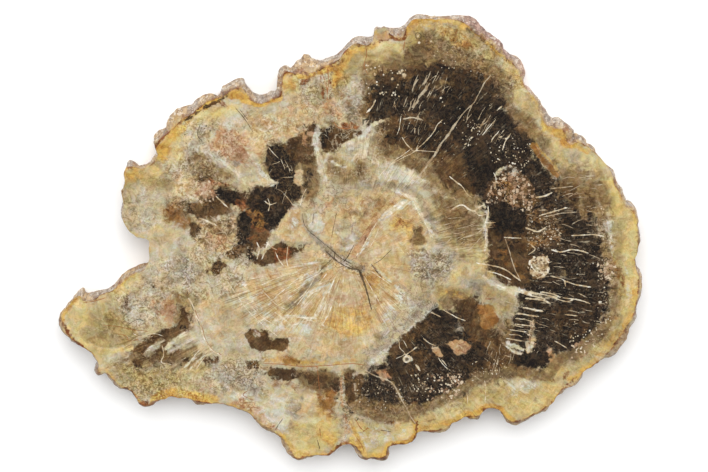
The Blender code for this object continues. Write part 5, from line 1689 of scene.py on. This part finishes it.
def mineral_colour(tree, where, zero):
    """The colour of the minerals, built up from the matrix to the dark silica."""
    direction, distance = from_pith(tree, where, zero)
    warped = swirled(tree, where, 4.0, 5.0)
    curled = swirled(tree, warped, 1.4, 1.6)
    narrow = grain(tree, polar(tree, direction, distance, 115.0, 0.14), 1.0)
    coarse = grain(tree, polar(tree, direction, distance, 26.0, 0.1), 1.0, detail=4, roughness=0.65)
    rings = grain(tree, polar(tree, direction, distance, 3.0, 0.8), 1.0, detail=4)
    streaks = add(tree, centred(tree, coarse, 1.2), centred(tree, narrow, 1.0))
    fibre = sums(tree, "MULTIPLY_ADD", mesh_value(tree, "fibre"), 0.9, 0.08)
    streaks = times(tree, streaks, fibre)
    mottles = mottle_values(tree, where, warped, curled, rings, streaks)
    colour = lay_paints(tree, curled, streaks, mottles)
    warmth = grain(tree, warped, 4.5, 91.0, detail=4, roughness=0.65)
    colour = tinted(tree, warmth, COOL_TINT, WARM_TINT, colour)
    redness = grain(tree, curled, 3.0, 97.0, detail=4, roughness=0.65)
    colour = tinted(tree, redness, GREEN_TINT, RED_TINT, colour)
    return add_textures(tree, where, warped, narrow, colour)


def mottle_values(tree, where, warped, curled, rings, streaks):
    """Two patterns of light and dark, each for every second paint."""
    coarseness = add(tree, mesh_value(tree, "grit"), 0.35)
    patchy = step_between(tree, grain(tree, where, 5.5, 13.0, 2, 0.5), 0.36, 0.64, 0.4, 1.4)
    crisp = step_between(tree, grain(tree, where, 0.8, 3.0, roughness=0.65), 0.42, 0.58)
    curls = grain(tree, curled, 0.9, 9.0, detail=4, roughness=0.65)
    fine = add(tree, centred(tree, curls, 1.4), centred(tree, crisp, 0.26))
    fine = times(tree, fine, patchy, coarseness)
    mottles = []
    for shift, size, amount in ((5.0, 3.2, 1.0), (17.0, 2.2, 1.2)):
        middle = centred(tree, grain(tree, curled, size, shift, detail=5, roughness=0.62), amount)
        middle = times(tree, middle, add(tree, coarseness, 0.4))
        broad = centred(tree, grain(tree, warped, 8.0, shift, roughness=0.55), 0.8)
        mottles.append(add(tree, middle, broad, fine, 0.5, centred(tree, rings, 0.35), streaks))
    return mottles


def lay_paints(tree, curled, streaks, mottles):
    """Each paint over those before it, with an edge broken up by grain and by the fibres."""
    colour = tone_ramp(tree, "matrix", mottles[0])
    streak = times(tree, streaks, 0.5)
    for number, paint in enumerate(PAINTS[1:]):
        low, high, broken = EDGES[paint]
        edge = centred(tree, grain(tree, curled, 2.8, 3.1 * number + 21, 6, 0.7), broken)
        share = add(tree, mesh_value(tree, paint), edge, streak)
        cover = step_between(tree, share, low, high)
        colour = blend(tree, cover, colour, tone_ramp(tree, paint, mottles[number % 2]))
    return colour


def tinted(tree, value, below, above, colour):
    """A colour with one tint where the noise is low, and another where it is high."""
    tint = blend(tree, step_between(tree, value, 0.4, 0.6), below, above)
    return vectors(tree, "MULTIPLY", colour, tint)


def swirled(tree, where, size, reach):
    """Places pushed about, so that the noise laid on them winds like marble."""
    swirl = vectors(tree, "SUBTRACT", grain_colour(tree, where, size), (0.5, 0.5, 0.5))
    return vectors(tree, "ADD", where, vectors(tree, "SCALE", swirl, scale=reach))


def thread(tree, where, size, width, shift):
    """Thin winding lines, where noise passes through its middle."""
    gap = sums(tree, "ABSOLUTE", sums(tree, "SUBTRACT", grain(tree, where, size, shift, detail=4), 0.5))
    return step_between(tree, gap, width * 0.4, width * 1.4, 1.0, 0.0)


def add_textures(tree, where, warped, narrow, colour):
    """Dark joints, pale threads, crumbs in clusters, and the fibres that stand out."""
    hue = grain(tree, where, 2.2, 44.0)
    cluster = step_between(tree, grain(tree, where, 4.2, 55.0), 0.44, 0.58, 0.12, 1.0)
    layers = (
        ("crackle", 0.2, 0.65, thread(tree, warped, 2.6, 0.02, 25.0), JOINT_TONES),
        ("web", 0.03, 0.6, thread(tree, warped, 4.2, 0.016, 88.0), THREAD_TONES),
        ("grit", 0.0, 0.6, crumbs(tree, where, 1.0, 0.565, 33.0, cluster), JOINT_TONES),
        ("grit", 0.0, 0.65, crumbs(tree, where, 0.9, 0.57, 71.0, cluster), CRUMB_TONES),
    )
    for name, least, most, mask, tones in layers:
        share = sums(tree, "MULTIPLY_ADD", mesh_value(tree, name), most, least)
        colour = blend(tree, times(tree, mask, share), colour, ramp(tree, hue, tones))
    broken = step_between(tree, grain(tree, where, 3.2, 38.0), 0.48, 0.6)
    shade = step_between(tree, narrow, 0.34, 0.44, 0.45, 0.0)
    lit = times(tree, step_between(tree, narrow, 0.6, 0.68, 0.0, 0.75), broken)
    for mask, tone in ((shade, FIBRE_SHADE), (lit, FIBRE_LIGHT)):
        share = times(tree, mask, mesh_value(tree, "fibre"))
        colour = blend(tree, share, colour, linear(tone))
    return colour


def crumbs(tree, where, size, least, shift, cluster):
    """Small crumbs where the noise is high, as many as the cluster lets through."""
    return times(tree, step_between(tree, grain(tree, where, size, shift, 2), least, least + 0.05), cluster)


def tone_ramp(tree, paint, value):
    return ramp(tree, value, tuple(zip(TONE_STOPS, TONES[paint])))


def add_mosaic(tree, where, colour):
    """Small pale crystals over the stone, closer together where the mosaic is stronger."""
    wobble = vectors(tree, "SCALE", grain_colour(tree, where, 1.3), scale=1.5)
    place = vectors(tree, "ADD", where, wobble)
    cells = tree.nodes.new("ShaderNodeTexVoronoi")
    joints = tree.nodes.new("ShaderNodeTexVoronoi")
    joints.feature = "DISTANCE_TO_EDGE"
    for node in (cells, joints):
        put(tree, node.inputs["Vector"], place)
        node.inputs["Scale"].default_value = 0.85
    split = tree.nodes.new("ShaderNodeSeparateColor")
    put(tree, split.inputs[0], cells.outputs["Color"])
    crystal = ramp(tree, split.outputs[1], CRYSTAL_TONES)
    kept = sums(tree, "LESS_THAN", split.outputs[0], mesh_value(tree, "mosaic"))
    inside = step_between(tree, joints.outputs["Distance"], 0.03, 0.14, 0.0, 0.9)
    return blend(tree, times(tree, kept, inside), colour, crystal)


def grain_colour(tree, where, size):
    node = tree.nodes.new("ShaderNodeTexNoise")
    put(tree, node.inputs["Vector"], where)
    node.inputs["Scale"].default_value = 1 / size
    return node.outputs["Color"]


def add_lines(tree, where, colour):
    """The fine lines and specks over the minerals."""
    edge = centred(tree, grain(tree, where, 0.9, 31.0), 2.2)
    hue = grain(tree, where, 3.0, 44.0)
    for kind, (most, tones) in LINE_TONES.items():
        value = add(tree, mesh_value(tree, kind + "_line"), edge)
        cover = step_between(tree, value, -0.35, 0.45, 0.0, most)
        colour = blend(tree, cover, colour, ramp(tree, hue, tones))
    return colour


def make_face_material(zero):
    """Polished face: the minerals under a clear polish."""
    material, tree, shader = new_material("polished stone")
    where = millimetres(tree)
    colour = mineral_colour(tree, where, zero)
    colour = add_mosaic(tree, where, colour)
    colour = add_lines(tree, where, colour)
    put(tree, shader.inputs["Base Color"], colour)
    polish = grain(tree, where, 1.4, 52.0, detail=4)
    put(tree, shader.inputs["Roughness"], step_between(tree, polish, 0.35, 0.75, *POLISHED_ROUGHNESS))
    pits = step_between(tree, grain(tree, where, 0.7, 60.0), 0.66, 0.74, 1.0, 0.0)
    put(tree, shader.inputs["Normal"], bump(tree, pits, PIT_DEPTH, 0.5))
    shader.inputs["IOR"].default_value = 1.5
    shader.inputs["Specular IOR Level"].default_value = 0.3
    return material


def rind_colour(tree, where, zero, value):
    """Cool and warm runs of the rind with rust and stains, cracks darkened in part as painted shade, and
    pale painted highlights.
    """
    runs = step_between(tree, grain(tree, where, 9.0, 3.0), 0.42, 0.58)
    colour = blend(tree, runs, ramp(tree, value, COOL_RIND), ramp(tree, value, WARM_RIND))
    rust = step_between(tree, grain(tree, where, 3.5, 70.0, detail=4), 0.58, 0.68, 0.0, 0.7)
    colour = blend(tree, rust, colour, linear(RIND_RUST))
    for place, reach, low, high in RIND_STAINS:
        stained = near_place(tree, where, zero, place, reach)
        colour = blend(tree, stained, colour, ramp(tree, value, ((0.36, low), (0.6, high))))
    # Dark crack lines: partly real cracks, partly painted shade in the crevices.
    crack_shade = thread(tree, swirled(tree, where, 2.0, 2.0), 2.2, 0.03, 80.0)
    colour = blend(tree, times(tree, crack_shade, 0.6), colour, linear(RIND_CRACK_SHADE))
    # Pale spots laid at random: painted highlights on the rind.
    painted_highlight = step_between(tree, grain(tree, where, 1.3, 85.0), 0.57, 0.62, 0.0, 0.7)
    return blend(tree, painted_highlight, colour, linear(RIND_HIGHLIGHT))


def make_bark_material(zero):
    """Rind: matte bark turned to stone, with the colour of the face's edge soaked into it."""
    material, tree, shader = new_material("stone rind")
    where = millimetres(tree)
    drawn = vectors(tree, "MULTIPLY", where, (1.0, 1.0, 0.3))
    middle = grain(tree, drawn, 2.4, 8.0, detail=5, roughness=0.65)
    fine = grain(tree, where, 0.6, 15.0, roughness=0.7)
    value = add(tree, centred(tree, middle, 1.1), centred(tree, fine, 0.5), 0.5)
    colour = rind_colour(tree, drawn, zero, value)
    depth = sums(tree, "SUBTRACT", FACE_HEIGHT, vector_part(tree, where, 2))
    reach = add(tree, depth, centred(tree, middle, 5.0))
    soaked = step_between(tree, reach, 0.2, 2.6, 0.85, 0.0)
    colour = blend(tree, soaked, colour, mineral_colour(tree, where, zero))
    put(tree, shader.inputs["Base Color"], colour)
    put(tree, shader.inputs["Roughness"], step_between(tree, fine, 0.3, 0.7, *RIND_ROUGHNESS))
    relief = add(tree, times(tree, middle, 0.7), times(tree, fine, 0.3))
    put(tree, shader.inputs["Normal"], bump(tree, relief, RIND_GRAIN, 0.8))
    return material


def near_place(tree, where, zero, place, reach):
    """Most around a place of the drawing, and nothing past its reach."""
    flat = vectors(tree, "MULTIPLY", where, (1, 1, 0))
    away = vectors(tree, "DISTANCE", flat, (place[0] + zero[0], place[1] + zero[1], 0.0), output=1)
    return step_between(tree, away, reach * 0.5, reach, 0.85, 0.0)


def vector_part(tree, vector, number):
    node = tree.nodes.new("ShaderNodeSeparateXYZ")
    put(tree, node.inputs[0], vector)
    return node.outputs[number]


def make_back_material(zero):
    """Sawn back: the same minerals, dull and dusty, with the marks of the saw."""
    material, tree, shader = new_material("sawn stone")
    where = millimetres(tree)
    colour = mineral_colour(tree, where, zero)
    saw = grain(tree, vectors(tree, "MULTIPLY", where, (0.06, 1.0, 1.0)), 0.8, 4.0)
    colour = blend(tree, 0.45, colour, ramp(tree, saw, DUST_TONES))
    put(tree, shader.inputs["Base Color"], colour)
    put(tree, shader.inputs["Roughness"], step_between(tree, saw, 0.3, 0.7, *SAWN_ROUGHNESS))
    put(tree, shader.inputs["Normal"], bump(tree, saw, SAW_GRAIN, 0.6))
    return material


# The piece

def store_markings(mesh, places, outline, lines, spots):
    """Puts the paints, the mosaic, the textures and the lines on the mesh, for the shader."""
    weights = paint_weights(places)
    stain_border(weights, places, outline)
    shares = over_shares(weights)
    for number, paint in enumerate(PAINTS[1:], 1):
        store(mesh, paint, shares[:, number])
    store(mesh, "mosaic", mosaic_share(places))
    for name in TEXTURE_KINDS:
        store(mesh, name, texture_share(places, name))
    for kind, seed in LINE_SEEDS.items():
        store(mesh, kind + "_line", line_strength(places, lines[kind], spots[kind], seed))


def make_slice(node):
    lines, spots = gather_lines()
    mesh, places, outline = make_slice_mesh(node, mark_points(lines, spots))
    store_markings(mesh, places, outline, lines, spots)
    piece = bpy.data.objects.new("petrified_wood_slice", mesh)
    bpy.context.scene.collection.objects.link(piece)
    zero = face_zero(node)
    for make in (make_face_material, make_bark_material, make_back_material):
        mesh.materials.append(make(zero))
    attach(piece, "root")
    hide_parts(NODE)


# Stage, light and camera

def make_floor():
    mesh = bpy.data.meshes.new("floor")
    corners = [(x * FLOOR_HALF, y * FLOOR_HALF, 0) for x, y in ((-1, -1), (1, -1), (1, 1), (-1, 1))]
    mesh.from_pydata(corners, [], [(0, 1, 2, 3)])
    floor = bpy.data.objects.new("floor", mesh)
    bpy.context.scene.collection.objects.link(floor)
    material, tree, shader = new_material("pale floor")
    shader.inputs["Base Color"].default_value = FLOOR_COLOUR + (1.0,)
    shader.inputs["Roughness"].default_value = 0.9
    shader.inputs["Specular IOR Level"].default_value = 0.1
    mesh.materials.append(material)


def add_light(name, place, size, power):
    """A round lamp that looks at the slice."""
    light = bpy.data.lights.new(name, "AREA")
    light.shape = "DISK"
    light.size = size
    light.energy = power
    lamp = bpy.data.objects.new(name, light)
    lamp.location = place
    aim = Vector((0, 0, 0)) - Vector(place)
    lamp.rotation_euler = aim.to_track_quat("-Z", "Y").to_euler()
    bpy.context.scene.collection.objects.link(lamp)


def make_lights():
    world = bpy.data.worlds.new("studio")
    world.use_nodes = True
    background = world.node_tree.nodes["Background"]
    background.inputs["Color"].default_value = (1, 1, 1, 1)
    background.inputs["Strength"].default_value = WORLD_LIGHT
    bpy.context.scene.world = world
    for light in LIGHTS:
        add_light(*light)
    bpy.context.scene.view_settings.view_transform = "Standard"


def make_camera(zero):
    data = bpy.data.cameras.new("camera")
    data.lens = CAMERA_FOCAL
    data.sensor_width = CAMERA_SENSOR
    camera = bpy.data.objects.new("camera", data)
    lean = math.radians(CAMERA_TILT)
    aim = np.array([CAMERA_AIM[0] + zero[0], CAMERA_AIM[1] + zero[1], FACE_HEIGHT])
    place = aim + CAMERA_DISTANCE * np.array([0, math.sin(lean), math.cos(lean)])
    camera.location = (place * MM).tolist()
    camera.rotation_euler = (-lean, 0, 0)
    bpy.context.scene.collection.objects.link(camera)
    bpy.context.scene.camera = camera


cad_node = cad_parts[NODE]
make_slice(cad_node)
make_floor()
make_lights()
make_camera(face_zero(cad_node))
